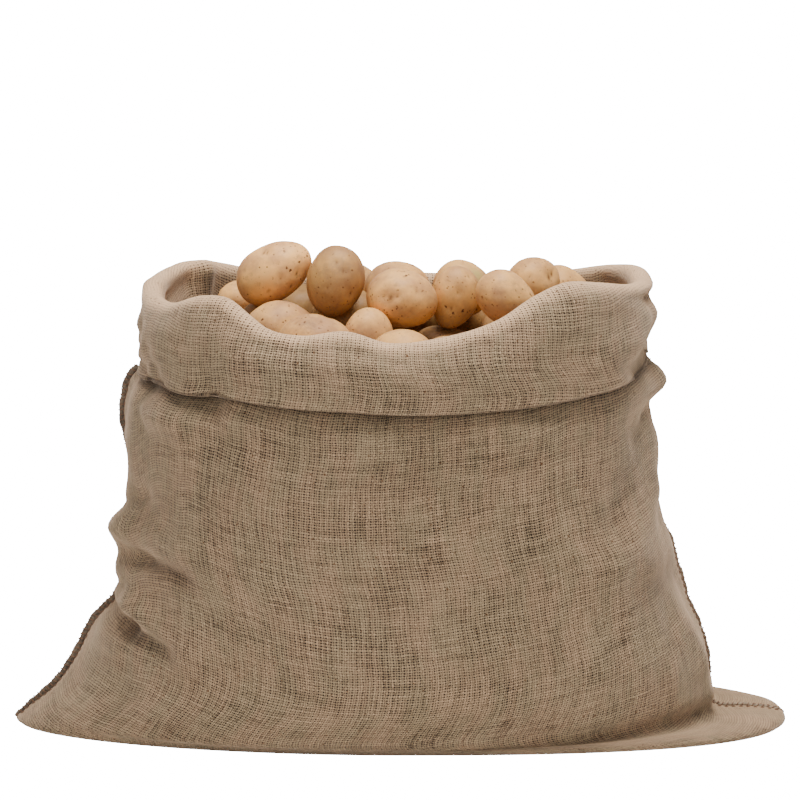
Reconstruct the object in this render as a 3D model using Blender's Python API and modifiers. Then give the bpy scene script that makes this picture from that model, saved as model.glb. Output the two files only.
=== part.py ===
"""A hessian sack filled with potatoes, its mouth rolled outwards into a cuff.

The sack is one cut length of jute cloth: folded across the bottom, joined up both sides and
stood on its fold, so that the two bottom corners lie out on the floor as ears. Frame: +Z up,
the origin on the floor under the middle of the sack, +X along the sack's width and the
front face towards -Y. Tables are in millimetres, objects in metres.
"""

import math
from collections import namedtuple

import bmesh
import bpy
import numpy as np
from mathutils import Euler, Vector
from mathutils.bvhtree import BVHTree

MM = 0.001
NAME = "hessian_sack"

# ---- driving dimensions (mm) ------------------------------------------------------------
CLOTH_THICKNESS = 2.0  # coarse jute, two crossing threads
FOLD_HALF_LENGTH = 306.0  # bottom fold, without the rounded ear tips
FOLD_BOW = 22.0  # the bottom fold bows this far to the front
CUFF_ROLL = 9.0  # radius of the rolled-over mouth edge
ROLL_FOLLOWS = 0.5  # share of the cuff's depth down to which it follows the wall's folds
TUCK_GAP = 5.5  # tucked hem to the wall behind it
SEAM_BEADS = (3.6, 2.6)  # radius of the overcast selvedges, left and right
FIT = 0.4  # gap between pieces that touch
POTATO_GAP = 0.35  # between a potato and what it rests on
FLAT_WIDTH = 650.0  # the empty sack, seam to seam
FLOOR_CLEAR = 8.0  # folds fade out below this height, so that the base stays flat
SEAM_START = 6.0  # the seam's beginning over the floor
SEAM_END_GAP = 3.0  # the seam's end to the cuff that hides it
PATH_STEPS = 8  # points for each span of a smooth curve
WELD = 0.00001  # metres

# ---- the cloth's sections ---------------------------------------------------------------
# Level sections of the wall's outer face: height, seam places left and right, the middle
# of the front and back faces, and how square each end is (2 is an ellipse, more is
# squarer, less runs out to a point, as the ears do).
Section = namedtuple("Section", "height left right left_y right_y front back left_end right_end")
SECTIONS = (
    Section(0, -324, 326, 0, 16, -129, 131, 1.90, 2.60),
    Section(4, -328, 330, 0, 16, -143, 146, 1.88, 2.55),
    Section(7, -323, 320, 0, 16, -148, 151, 1.86, 2.45),
    Section(9.5, -320, 295, 0, 15, -152, 155, 1.84, 2.25),
    Section(11.5, -318, 270, 0, 15, -155, 158, 1.81, 2.05),
    Section(18, -309, 262, 0, 14, -160, 160, 1.78, 2.00),
    Section(26, -298, 262, 0, 12, -163, 163, 1.82, 2.05),
    Section(40, -283, 262, 0, 10, -166, 167, 1.76, 2.10),
    Section(60, -269, 260, 2, 8, -168, 169, 1.80, 2.15),
    Section(86, -254, 252, 6, 5, -169, 171, 1.95, 2.20),
    Section(110, -236, 241, 12, 2, -169, 172, 2.15, 2.30),
    Section(131, -225, 235, 18, 0, -169, 172, 2.35, 2.40),
    Section(155, -225, 231, 22, 0, -169, 172, 2.45, 2.50),
    Section(182, -222, 219, 22, 0, -168, 171, 2.50, 2.55),
    Section(215, -221, 210, 18, 4, -167, 169, 2.55, 2.60),
    Section(255, -223, 210, 8, 12, -166, 166, 2.60, 2.60),
    Section(282, -223, 209, 3, 14, -165, 163, 2.60, 2.60),
    Section(298, -219, 211, 0, 14, -163, 160, 2.55, 2.55),
    Section(307, -211, 208, 0, 12, -161, 158, 2.52, 2.52),
    Section(316, -205, 200, 0, 6, -159, 156, 2.50, 2.50),
    Section(330, -201, 195, 0, 0, -157, 154, 2.45, 2.45),
    Section(360, -199, 195, 0, 0, -154, 151, 2.40, 2.40),
    Section(395, -197, 193, 0, 0, -151, 148, 2.40, 2.40),
)

# ---- the cuff ---------------------------------------------------------------------------
# Round the mouth, by the share of the way from the left seam to the right one: the height
# of the rolled rim, the height of the cuff's lower edge, and how far the cuff stands out.
Mouth = namedtuple("Mouth", "share rim hem puff")
FRONT_MOUTH = (
    Mouth(0.00, 377, 309, 15),
    Mouth(0.05, 371, 306, 17),
    Mouth(0.10, 368, 304, 21),
    Mouth(0.16, 367, 303, 22),
    Mouth(0.22, 376, 299, 22),
    Mouth(0.26, 375, 299, 21),
    Mouth(0.29, 364, 298, 21),
    Mouth(0.32, 353, 296, 21),
    Mouth(0.37, 348, 293, 22),
    Mouth(0.43, 352, 291, 22),
    Mouth(0.49, 343, 289, 23),
    Mouth(0.56, 347, 289, 23),
    Mouth(0.64, 361, 292, 22),
    Mouth(0.69, 378, 295, 23),
    Mouth(0.74, 388, 299, 24),
    Mouth(0.79, 386, 303, 23),
    Mouth(0.86, 381, 309, 18),
    Mouth(0.93, 380, 313, 14),
    Mouth(1.00, 380, 315, 12),
)
BACK_MOUTH = (
    Mouth(0.00, 377, 309, 15),
    Mouth(0.06, 377, 307, 20),
    Mouth(0.12, 381, 306, 25),
    Mouth(0.17, 384, 305, 24),
    Mouth(0.22, 379, 303, 23),
    Mouth(0.28, 371, 300, 23),
    Mouth(0.50, 366, 297, 22),
    Mouth(0.72, 368, 300, 23),
    Mouth(0.86, 381, 307, 20),
    Mouth(0.94, 384, 311, 15),
    Mouth(1.00, 380, 315, 12),
)

# The roll in profile, from the inner wall over the rim and down to the tucked hem: the
# share of the cuff's depth below the rim, a further drop, and the stand-off from the wall
# as a share of the puff and as a length.
Roll = namedtuple("Roll", "share drop puff_share stand_off")
ROLL = (
    Roll(0.0, 3.0, 0.0, 2.6),
    Roll(0.0, 0.0, 0.0, CUFF_ROLL),
    Roll(0.0, 3.0, 0.0, 1.75 * CUFF_ROLL),
    Roll(0.0, 10.0, 0.9, 0.0),
    Roll(0.36, 0.0, 1.0, 0.0),
    Roll(0.62, 0.0, 1.0, 0.0),
    Roll(0.86, 0.0, 0.9, 0.0),
    Roll(0.97, 0.0, 0.66, 0.0),
    Roll(1.0, -1.0, 0.2, TUCK_GAP),
    Roll(0.93, 0.0, 0.0, TUCK_GAP + 0.5),
    Roll(0.82, 0.0, 0.0, TUCK_GAP),
)

# ---- folds ------------------------------------------------------------------------------
# A soft ridge (rise > 0) or trough (rise < 0) that runs over one face from one point to
# another, each given by its share across the face and its height.
Fold = namedtuple("Fold", "face share_a height_a share_b height_b half_width rise")
FRONT, BACK = -1, 1
FOLDS = (
    Fold(FRONT, 0.075, 214, 0.075, 148, 30, 15.0),
    Fold(FRONT, 0.055, 172, 0.085, 171, 15, 9.0),
    Fold(FRONT, 0.09, 180, 0.21, 172, 11, 4.5),
    Fold(FRONT, 0.03, 184, 0.13, 204, 7, -4.0),
    Fold(FRONT, 0.10, 156, 0.21, 146, 8, -9.0),
    Fold(FRONT, 0.03, 126, 0.09, 124, 6, -5.0),
    Fold(FRONT, 0.05, 140, 0.14, 137, 8, 3.5),
    Fold(FRONT, 0.03, 106, 0.11, 95, 8, -8.0),
    Fold(FRONT, 0.11, 95, 0.19, 84, 8, -6.0),
    Fold(FRONT, 0.06, 122, 0.13, 112, 10, 5.0),
    Fold(FRONT, 0.13, 112, 0.21, 88, 10, 5.0),
    Fold(FRONT, 0.02, 262, 0.10, 252, 16, 3.0),
    Fold(FRONT, 0.95, 212, 0.78, 158, 15, 5.0),
    Fold(FRONT, 0.945, 303, 0.945, 301, 10, 9.0),
    Fold(FRONT, 0.935, 250, 0.935, 234, 24, 8.0),
    Fold(FRONT, 0.95, 140, 0.86, 132, 15, -4.5),
    Fold(FRONT, 0.93, 78, 0.95, 22, 12, 5.0),
    Fold(FRONT, 0.99, 293, 0.90, 289, 13, 4.0),
    Fold(FRONT, 0.99, 266, 0.86, 258, 10, -3.0),
    Fold(FRONT, 0.30, 268, 0.62, 262, 14, -3.0),
    Fold(BACK, 0.02, 354, 0.13, 368, 9, 4.5),
    Fold(BACK, 0.165, 350, 0.175, 392, 12, -9.0),
    Fold(BACK, 0.97, 358, 0.86, 366, 9, 5.0),
    Fold(BACK, 0.04, 150, 0.22, 96, 12, -6.0),
    Fold(BACK, 0.06, 178, 0.28, 134, 16, 5.0),
    Fold(BACK, 0.96, 168, 0.76, 112, 12, -6.0),
    Fold(BACK, 0.94, 200, 0.70, 150, 18, 5.0),
    Fold(BACK, 0.34, 262, 0.70, 250, 15, -4.0),
    Fold(BACK, 0.44, 60, 0.60, 92, 16, 4.0),
)
# The same on the cuff, where the height is the share of the way from rim to lower edge.
CUFF_FOLDS = (
    Fold(FRONT, 0.03, 0.15, 0.09, 0.75, 8, -5.0),
    Fold(FRONT, 0.13, 0.60, 0.17, 1.00, 7, -4.5),
    Fold(FRONT, 0.90, 0.12, 0.73, 0.52, 10, -4.5),
    Fold(FRONT, 0.92, 0.40, 0.80, 0.75, 11, 4.5),
    Fold(FRONT, 0.99, 0.72, 0.84, 0.95, 9, -4.0),
    Fold(BACK, 0.10, 0.05, 0.16, 0.80, 10, -5.0),
    Fold(BACK, 0.34, 0.10, 0.30, 0.90, 12, 4.0),
    Fold(BACK, 0.62, 0.10, 0.66, 0.90, 12, -4.5),
    Fold(BACK, 0.90, 0.05, 0.84, 0.85, 10, -5.0),
)

# ---- mesh of the cloth ------------------------------------------------------------------
# Columns by their share across a face, rows by their share of the way over the floor from
# the fold to where the cloth leaves it, and of the way from there up to the rim.
COLUMNS = (0, 0.02, 0.045, 0.07, 0.095, 0.12, 0.15, 0.18, 0.21, 0.245, 0.285, 0.33, 0.375,
           0.42, 0.46, 0.50, 0.54, 0.58, 0.625, 0.67, 0.715, 0.76, 0.805, 0.85, 0.89,
           0.925, 0.955, 0.98, 1)
FLOOR_ROWS = (0, 0.5)
WALL_ROWS = (0, 0.022, 0.048, 0.08, 0.115, 0.15, 0.18, 0.21, 0.235, 0.26, 0.285, 0.31, 0.335,
             0.36, 0.385, 0.41, 0.44, 0.475, 0.52, 0.57, 0.62, 0.67, 0.71, 0.75, 0.79, 0.83,
             0.865, 0.9, 0.935, 0.97, 1)

# ---- potatoes ---------------------------------------------------------------------------
# Each potato's place over the heap, its length, width and thickness, how it is turned
# round Z, how far its right end is lifted, its roll, and how much its one end is slimmer.
# They are listed in the order in which they were tipped in: the lowest first.
Potato = namedtuple("Potato", "x y length width thick turn lift roll taper")
POTATOES = (
    Potato(-66, -116, 68, 54, 58, 6, 4, 0, 0.10),
    Potato(2, -122, 52, 50, 50, -8, 3, 10, 0.05),
    Potato(-144, -78, 52, 44, 38, 46, 8, 0, 0.08),
    Potato(68, -118, 64, 50, 42, 14, 0, -10, 0.10),
    Potato(131, -84, 60, 50, 40, -38, 8, 0, 0.06),
    Potato(-160, -22, 62, 50, 44, 70, 16, 0, 0.10),
    Potato(160, -32, 58, 48, 40, 76, 0, 0, 0.08),
    Potato(-98, -57, 66, 52, 56, 12, -6, 15, 0.12),
    Potato(-26, -80, 48, 42, 52, 80, 10, 0, 0.08),
    Potato(38, -84, 44, 38, 30, 50, 0, 0, 0.08),
    Potato(88, -58, 46, 44, 36, -10, 6, 0, 0.10),
    Potato(-106, -6, 64, 54, 52, 20, 0, 0, 0.06),
    Potato(-44, -14, 62, 54, 58, -20, 5, 0, 0.05),
    Potato(36, -20, 50, 48, 24, 12, 0, 0, 0.08),
    Potato(90, -4, 58, 50, 46, -50, 0, 0, 0.08),
    Potato(154, 28, 58, 48, 44, 66, 0, 0, 0.05),
    Potato(-152, 42, 64, 52, 44, -64, 0, 10, 0.08),
    Potato(-84, 50, 60, 52, 58, 15, 0, 0, 0.06),
    Potato(-22, 42, 64, 52, 44, -15, 0, -8, 0.10),
    Potato(42, 44, 62, 50, 42, 20, 0, 0, 0.08),
    Potato(98, 50, 58, 48, 42, -20, 0, 0, 0.08),
    Potato(-118, 100, 62, 50, 44, 30, 0, 0, 0.10),
    Potato(-52, 110, 66, 52, 46, -8, 0, 8, 0.08),
    Potato(14, 112, 64, 52, 46, 8, 0, 0, 0.05),
    Potato(76, 108, 62, 50, 42, -14, 0, 0, 0.10),
    Potato(134, 88, 58, 48, 40, -50, 0, 0, 0.08),
    Potato(-134, 30, 56, 44, 34, 60, 0, 0, 0.08),
    Potato(0, -62, 58, 54, 51, -5, -10, 0, 0.04),
    Potato(-51, -46, 62, 50, 48, 5, 80, 0, -0.03),
    Potato(-103, -24, 70, 51, 49, -8, 30, 0, 0.04),
    Potato(86, -74, 56, 46, 46, 8, -42, 20, 0.16),
    Potato(39, -31, 58, 37, 40, 10, 78, 0, -0.06),
    Potato(-8, 12, 54, 50, 46, 8, 4, 0, 0.08),
    Potato(48, 14, 50, 50, 50, -20, -12, 0, 0.10),
    Potato(105, -16, 50, 46, 44, 35, 20, 0, 0.06),
    Potato(143, 24, 48, 44, 44, -15, -20, 0, 0.08),
    Potato(-50, 80, 60, 48, 40, -30, 0, 0, 0.08),
    Potato(12, 84, 52, 44, 34, 20, 0, 0, 0.08),
)
POTATO_SEGMENTS = 12
POTATO_RINGS = 7
GOLDEN_ANGLE = 2.4  # turns each potato's lumps away from its neighbour's
LUMP = 0.03
DROP_HEIGHT = 470.0
DROP_STEP = 4.0
DROP_HALVINGS = 5
ROLL_STEPS = (6.0, 3.0)
ROLL_REACH = 6.0  # how far a potato rolls at most
ROLL_DROP = 0.3  # and how much lower it must get by a step
NEAR = 110.0  # potatoes further off than this can't meet

# ---- the hidden potatoes ----------------------------------------------------------------
# Levels of the bed, from the floor up: its height, the height of the wall that it follows,
# the inset from it, the widest it gets to either side, and how far it is drawn in (1 is
# not at all).
Level = namedtuple("Level", "height wall inset half_width spread")
BED_LEVELS = (
    Level(2.3, 6, 40, 250, 0.0),
    Level(2.3, 6, 40, 250, 0.55),
    Level(2.3, 6, 40, 250, 1.0),
    Level(14, 14, 20, 262, 1.0),
    Level(44, 44, 14, 262, 1.0),
    Level(84, 84, 18, 262, 1.0),
    Level(130, 130, 19, 262, 1.0),
    Level(180, 180, 19, 262, 1.0),
    Level(230, 230, 14, 262, 1.0),
    Level(268, 268, 12, 262, 1.0),
    Level(290, 315, 12, 262, 1.0),
    Level(303, 315, 12, 262, 0.88),
    Level(311, 315, 12, 262, 0.66),
    Level(316, 315, 12, 262, 0.34),
    Level(317, 315, 12, 262, 0.0),
)
BED_COLUMNS = 15

# ---- materials: colour, roughness -------------------------------------------------------
MATERIALS = {
    "jute hessian": ((0.285, 0.186, 0.112), 0.95),
    "jute twine": ((0.130, 0.078, 0.042), 0.95),
    "potato skin": ((0.560, 0.315, 0.140), 0.55),
    "hidden potatoes": ((0.330, 0.185, 0.085), 0.70),
}


def material(name):
    """The named matt finish, made once."""
    found = bpy.data.materials.get(name)
    if found:
        return found
    colour, roughness = MATERIALS[name]
    made = bpy.data.materials.new(name)
    made.use_nodes = True
    shader = made.node_tree.nodes["Principled BSDF"]
    shader.inputs["Base Color"].default_value = (*colour, 1)
    shader.inputs["Roughness"].default_value = roughness
    shader.inputs["Metallic"].default_value = 0
    return made


def add_object(name, bm, finish, collection):
    """An object in the sack's collection from a bmesh in metres."""
    mesh = bpy.data.meshes.new(name)
    bm.to_mesh(mesh)
    bm.free()
    mesh.shade_smooth()
    mesh.materials.append(material(finish))
    made = bpy.data.objects.new(name, mesh)
    collection.objects.link(made)
    return made


# ---- curves -----------------------------------------------------------------------------
def walk(points, shares):
    """Points at the given shares of the length of a polyline."""
    steps = np.linalg.norm(np.diff(points, axis=0), axis=1)
    along = np.concatenate(([0.0], np.cumsum(steps)))
    wanted = np.asarray(shares) * along[-1]
    return np.column_stack([np.interp(wanted, along, axis) for axis in points.T])


def smooth_path(points, steps=PATH_STEPS):
    """A smooth curve through the points, by cubic spans with chord-length tangents."""
    chord = np.linalg.norm(np.diff(points, axis=0), axis=1)[:, None]
    slope = np.diff(points, axis=0) / chord
    inner = (slope[:-1] * chord[1:] + slope[1:] * chord[:-1]) / (chord[1:] + chord[:-1])
    tangent = np.vstack((slope[:1], inner, slope[-1:]))
    spans = [points[:1]]
    for a, b, ta, tb, length in zip(points, points[1:], tangent, tangent[1:], chord):
        t = np.linspace(0, 1, steps + 1)[1:, None]
        spans.append(
            (2 * t**3 - 3 * t**2 + 1) * a
            + (t**3 - 2 * t**2 + t) * length * ta
            + (3 * t**2 - 2 * t**3) * b
            + (t**3 - t**2) * length * tb
        )
    return np.vstack(spans)


def eased_value(rows, share, column):
    """One column of a table at a share between its rows, eased from row to row."""
    shares = [row.share for row in rows]
    values = [getattr(row, column) for row in rows]
    path = smooth_path(np.column_stack((shares, np.asarray(values) / 1000)), 12)
    return float(np.interp(share, path[:, 0], path[:, 1]) * 1000)


# ---- the wall of the sack ---------------------------------------------------------------
def section_arc(section, face, shares):
    """One face of a level section, from the left seam to the right one."""
    apex_y = section.front if face == FRONT else section.back
    apex = np.array([(section.left + section.right) / 2, apex_y])
    angle = np.linspace(0, math.pi / 2, 30)
    halves = []
    for tip, end in (
        ((section.left, section.left_y), section.left_end),
        ((section.right, section.right_y), section.right_end),
    ):
        x = apex[0] + (tip[0] - apex[0]) * np.cos(angle) ** (2 / end)
        y = tip[1] + (apex[1] - tip[1]) * np.sin(angle) ** (2 / end)
        halves.append(np.column_stack((x, y)))
    return walk(np.vstack((halves[0], halves[1][-2::-1])), shares)


def loop_columns(shares):
    """The faces and shares of the columns once round the sack, from the left seam."""
    front = [(FRONT, share) for share in shares]
    back = [(BACK, share) for share in reversed(shares)]
    return front + back[1:]


def fold_point(share):
    """A point of the bottom fold, which lies on the floor."""
    across = 2 * share - 1
    return (FOLD_HALF_LENGTH * across, -FOLD_BOW * (1 - across**2), 0.0)


def wall_paths(shares):
    """The path of each column up the outer face, from the bottom fold to over the rim."""
    levels = {
        face: [section_arc(section, face, shares) for section in SECTIONS]
        for face in (FRONT, BACK)
    }
    paths = []
    for face, share in loop_columns(shares):
        column = list(shares).index(share)
        points = [fold_point(share)]
        for section, level in zip(SECTIONS, levels[face]):
            points.append((*level[column], section.height))
        path = smooth_path(np.array(points, dtype=float))
        path[:, 2] = np.maximum(path[:, 2], 0.0)
        paths.append(path)
    return paths


def at_height(path, height):
    """The point of a column's path at a height on the wall."""
    wall = path[PATH_STEPS:]
    return np.array([np.interp(height, wall[:, 2], wall[:, 0]),
                     np.interp(height, wall[:, 2], wall[:, 1]), height])


def outward(ring):
    """Level unit normals of a closed ring of points, away from its middle."""
    along = np.roll(ring[:-1], -1, axis=0) - np.roll(ring[:-1], 1, axis=0)
    normal = np.column_stack((along[:, 1], -along[:, 0], np.zeros(len(along))))
    normal /= np.linalg.norm(normal, axis=1)[:, None]
    return np.vstack((normal, normal[:1]))


def unit(vector):
    """The direction of a vector."""
    return vector / np.linalg.norm(vector)


def ridge(fold, share, height, height_scale):
    """Rise of one fold at a point of its own face."""
    scale = np.array([FLAT_WIDTH, height_scale])
    start = np.array([fold.share_a, fold.height_a]) * scale
    run = np.array([fold.share_b, fold.height_b]) * scale - start
    place = np.array([share, height]) * scale - start
    length = float(np.linalg.norm(run))
    along = float(place @ run) / length
    beyond = max(0.0, -along, along - length)
    nearest = run * min(1.0, max(0.0, along / length))
    aside = float(np.linalg.norm(place - nearest)) - 0.5 * beyond
    return fold.rise * math.exp(-((aside / fold.half_width) ** 2))


def relief(folds, face, share, height, height_scale=1.0):
    """Rise of all folds at a point; a fold at a seam runs on round to the other face."""
    total = 0.0
    for fold in folds:
        places = (share,) if face == fold.face else (-share, 2 - share)
        total += sum(ridge(fold, place, height, height_scale) for place in places)
    return total


def cloth_rows(shares, floor_rows, wall_rows):
    """Rings of points over the cloth's outer face, from bottom fold to tucked hem (mm)."""
    columns = loop_columns(shares)
    paths = wall_paths(shares)
    mouths = [FRONT_MOUTH if face == FRONT else BACK_MOUTH for face, _ in columns]
    rim, hem, puff = (
        [eased_value(mouth, share, part) for mouth, (_, share) in zip(mouths, columns)]
        for part in ("rim", "hem", "puff")
    )
    lines = []
    for path, top in zip(paths, rim):
        floor, wall = path[: PATH_STEPS + 1], path[PATH_STEPS:]
        edge = at_height(path, top - CUFF_ROLL)
        wall = np.vstack((wall[wall[:, 2] < edge[2]], edge))
        lines.append(np.vstack((walk(floor, floor_rows), walk(wall, wall_rows))))
    rings = [np.array(ring) for ring in zip(*lines)]
    mouth_normals = outward(rings[-1])
    for ring in rings[1:]:
        normals = outward(ring)
        for index, (face, share) in enumerate(columns):
            height = ring[index, 2]
            free = min(1.0, max(0.0, (height - FLOOR_CLEAR) / FLOOR_CLEAR))
            ring[index] += normals[index] * free * relief(FOLDS, face, share, height)
    rim_rise = [
        relief(FOLDS, face, share, top) for (face, share), top in zip(columns, rim)
    ]
    for roll in ROLL:
        ring = []
        following = max(0.0, 1 - roll.share / ROLL_FOLLOWS)
        for index, (face, share) in enumerate(columns):
            depth = rim[index] - hem[index]
            fold = relief(CUFF_FOLDS, face, share, roll.share, depth)
            stand = roll.stand_off + roll.puff_share * (puff[index] + fold)
            stand += following * rim_rise[index]
            height = rim[index] - roll.share * depth - roll.drop
            ring.append(at_height(paths[index], height) + mouth_normals[index] * stand)
        rings.append(np.array(ring))
    return rings


# ---- the pieces -------------------------------------------------------------------------
def wrapped_grid(rings):
    """A flat grid wrapped to closed rings of points, its meeting edges joined."""
    around = len(rings[0])
    bm = bmesh.new()
    bmesh.ops.create_grid(bm, x_segments=around - 1, y_segments=len(rings) - 1, size=1)
    bm.verts.ensure_lookup_table()
    for row, ring in enumerate(rings):
        for column, point in enumerate(ring):
            bm.verts[row * around + column].co = point * MM
    bmesh.ops.remove_doubles(bm, verts=bm.verts[:], dist=WELD)
    return bm


def sack_cloth(rings, collection):
    """The whole sack in one piece of cloth."""
    cloth = add_object("sack_cloth", wrapped_grid(rings), "jute hessian", collection)
    wall = cloth.modifiers.new("cloth thickness", "SOLIDIFY")
    wall.thickness = CLOTH_THICKNESS * MM
    wall.offset = -1
    wall.use_even_offset = True
    wall.thickness_clamp = 1.5
    return cloth


def side_seam(name, rings, column, bead, collection):
    """The overcast selvedges of one side, from the ear's tip to under the cuff."""
    wall = rings[: len(FLOOR_ROWS) + len(WALL_ROWS)]
    hem_height = min(ring[column, 2] for ring in rings[-len(ROLL) + 4:])
    around = len(wall[0]) - 1
    path = []
    for below, ring, above in zip(wall, wall[1:], wall[2:]):
        point = ring[column]
        if not SEAM_START < point[2] < hem_height - SEAM_END_GAP:
            continue
        across = ring[(column + 1) % around] - ring[(column - 1) % around]
        under = unit(np.cross(across, point - below[column]))
        over = unit(np.cross(across, above[column] - point))
        middle = unit(under + over)
        path.append(point + middle * (bead + FIT) / (middle @ over))
    curve = bpy.data.curves.new(name, "CURVE")
    curve.dimensions = "3D"
    spline = curve.splines.new("POLY")
    spline.points.add(len(path) - 1)
    for spot, point in zip(spline.points, path):
        spot.co = (*(point * MM), 1)
    curve.bevel_depth = bead * MM
    curve.bevel_resolution = 2
    curve.use_fill_caps = True
    curve.materials.append(material("jute twine"))
    seam = bpy.data.objects.new(name, curve)
    collection.objects.link(seam)
    return seam


def potato_bed(collection):
    """The hidden potatoes as one mass, set in from the wall and domed on top."""
    shares = [index / BED_COLUMNS for index in range(BED_COLUMNS + 1)]
    paths = wall_paths(shares)
    rings = []
    for level in BED_LEVELS:
        ring = np.array([at_height(path, level.wall) for path in paths])
        ring -= outward(ring) * level.inset
        ring[:, 0] = np.clip(ring[:, 0], -level.half_width, level.half_width)
        ring[:, :2] *= level.spread
        ring[:, 2] = level.height
        rings.append(ring)
    bed = wrapped_grid(rings)
    return add_object("potato_bed", bed, "hidden potatoes", collection)


def potato(index, row, collection):
    """One potato round its own middle: an egg, a little lumpy, turned as it lies."""
    bm = bmesh.new()
    bmesh.ops.create_uvsphere(
        bm, u_segments=POTATO_SEGMENTS, v_segments=POTATO_RINGS, radius=0.5
    )
    half = Vector((row.length, row.width, row.thick))
    turn = Euler((math.radians(row.roll), math.radians(-row.lift), math.radians(row.turn)))
    phase = index * GOLDEN_ANGLE
    for vert in bm.verts:
        x, y, z = vert.co.z, vert.co.x, vert.co.y  # poles at the two ends
        slim = 1 - row.taper * 2 * x
        lump = 1 + LUMP * math.sin(5 * x + 3 * y + phase) + LUMP * math.sin(4 * z - phase)
        place = Vector((x, y * slim, z * slim)) * lump
        vert.co = place * half * MM
        vert.co.rotate(turn)
    return add_object(f"potato_{index:02d}", bm, "potato skin", collection)


def solid_tree(thing):
    """The finished shape of an object, for finding where it touches."""
    return BVHTree.FromObject(thing, bpy.context.evaluated_depsgraph_get())


def moved_tree(mesh, place):
    """The shape of a mesh moved to a place in millimetres."""
    verts = [vert.co + place * MM for vert in mesh.vertices]
    return BVHTree.FromPolygons(verts, [face.vertices[:] for face in mesh.polygons])


def resting_place(mesh, x, y, start, standing):
    """Where a potato let down over a spot first meets what lies there, if it is free."""

    def clear(height):
        tree = moved_tree(mesh, Vector((x, y, height)))
        return not any(tree.overlap(other) for other in standing)

    if not clear(start):
        return None
    free = start
    while clear(free - DROP_STEP) and free > DROP_STEP:
        free -= DROP_STEP
    stopped = free - DROP_STEP
    for _ in range(DROP_HALVINGS):
        middle = (free + stopped) / 2
        if clear(middle):
            free = middle
        else:
            stopped = middle
    return Vector((x, y, free + POTATO_GAP))


def settled_place(mesh, x, y, standing):
    """Where a potato comes to lie: let down, then rolled to the lowest hollow near by."""
    best = resting_place(mesh, x, y, DROP_HEIGHT, standing)
    for step in ROLL_STEPS:
        rolled = True
        while rolled:
            rolled = False
            for turn in range(8):
                angle = turn * math.pi / 4
                spot_x = best.x + step * math.cos(angle)
                spot_y = best.y + step * math.sin(angle)
                if math.hypot(spot_x - x, spot_y - y) > ROLL_REACH:
                    continue
                place = resting_place(mesh, spot_x, spot_y, best.z + step, standing)
                if place and place.z < best.z - ROLL_DROP:
                    best = place
                    rolled = True
    return best


def heap(carriers, collection):
    """All the potatoes, each let down on what lies there already."""
    walls = [solid_tree(carrier) for carrier in carriers]
    lying = []
    for index, row in enumerate(POTATOES, start=1):
        made = potato(index, row, collection)
        near = [
            tree for tree, place in lying
            if math.hypot(place.x - row.x, place.y - row.y) < NEAR
        ]
        place = settled_place(made.data, row.x, row.y, walls + near)
        made.location = place * MM
        lying.append((moved_tree(made.data, place), place))


def main():
    """Clear the file and model the sack."""
    for old in list(bpy.data.objects):
        bpy.data.objects.remove(old, do_unlink=True)
    collection = bpy.data.collections.new(NAME)
    bpy.context.scene.collection.children.link(collection)
    rings = cloth_rows(COLUMNS, FLOOR_ROWS, WALL_ROWS)
    cloth = sack_cloth(rings, collection)
    side_seam("side_seam_left", rings, 0, SEAM_BEADS[0], collection)
    side_seam("side_seam_right", rings, len(COLUMNS) - 1, SEAM_BEADS[1], collection)
    bed = potato_bed(collection)
    heap((cloth, bed), collection)


if __name__ == "__main__":
    main()
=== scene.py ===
"""Hessian sack full of potatoes: the cloth with its folds and weave, its seams and its filling.

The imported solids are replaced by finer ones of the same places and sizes: a cloth drawn from
the same tables, with the weave, slubs and stains of jute hessian, overcast selvedges, and
potatoes made from their own solids, with eyes, specks and earth on their skins. +Z is up and
the front faces -Y. Tables are in millimetres, objects in metres.
"""

import functools
import math
from collections import namedtuple

import bmesh
import bpy
import numpy as np
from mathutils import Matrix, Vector


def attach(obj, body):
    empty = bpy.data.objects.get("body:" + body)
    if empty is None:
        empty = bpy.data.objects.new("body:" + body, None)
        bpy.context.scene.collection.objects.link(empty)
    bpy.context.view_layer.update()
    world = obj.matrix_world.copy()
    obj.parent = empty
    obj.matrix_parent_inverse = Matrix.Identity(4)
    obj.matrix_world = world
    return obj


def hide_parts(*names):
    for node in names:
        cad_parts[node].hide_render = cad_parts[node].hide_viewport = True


bl_info = {
    "name": "Hessian sack of potatoes",
    "version": (1, 0, 0),
    "blender": (4, 5, 0),
    "location": "View3D > Sidebar > Sack",
    "description": "Dresses a packed hessian sack with cloth, seams and potatoes",
    "category": "Object",
}

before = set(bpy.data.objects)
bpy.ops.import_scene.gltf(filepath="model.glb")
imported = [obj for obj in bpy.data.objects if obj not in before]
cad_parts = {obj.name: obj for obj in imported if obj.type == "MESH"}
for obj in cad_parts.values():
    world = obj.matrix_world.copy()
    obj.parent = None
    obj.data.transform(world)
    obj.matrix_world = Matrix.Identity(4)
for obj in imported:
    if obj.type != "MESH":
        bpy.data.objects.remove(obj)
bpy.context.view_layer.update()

MM = 0.001
FRONT, BACK = -1, 1

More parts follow.
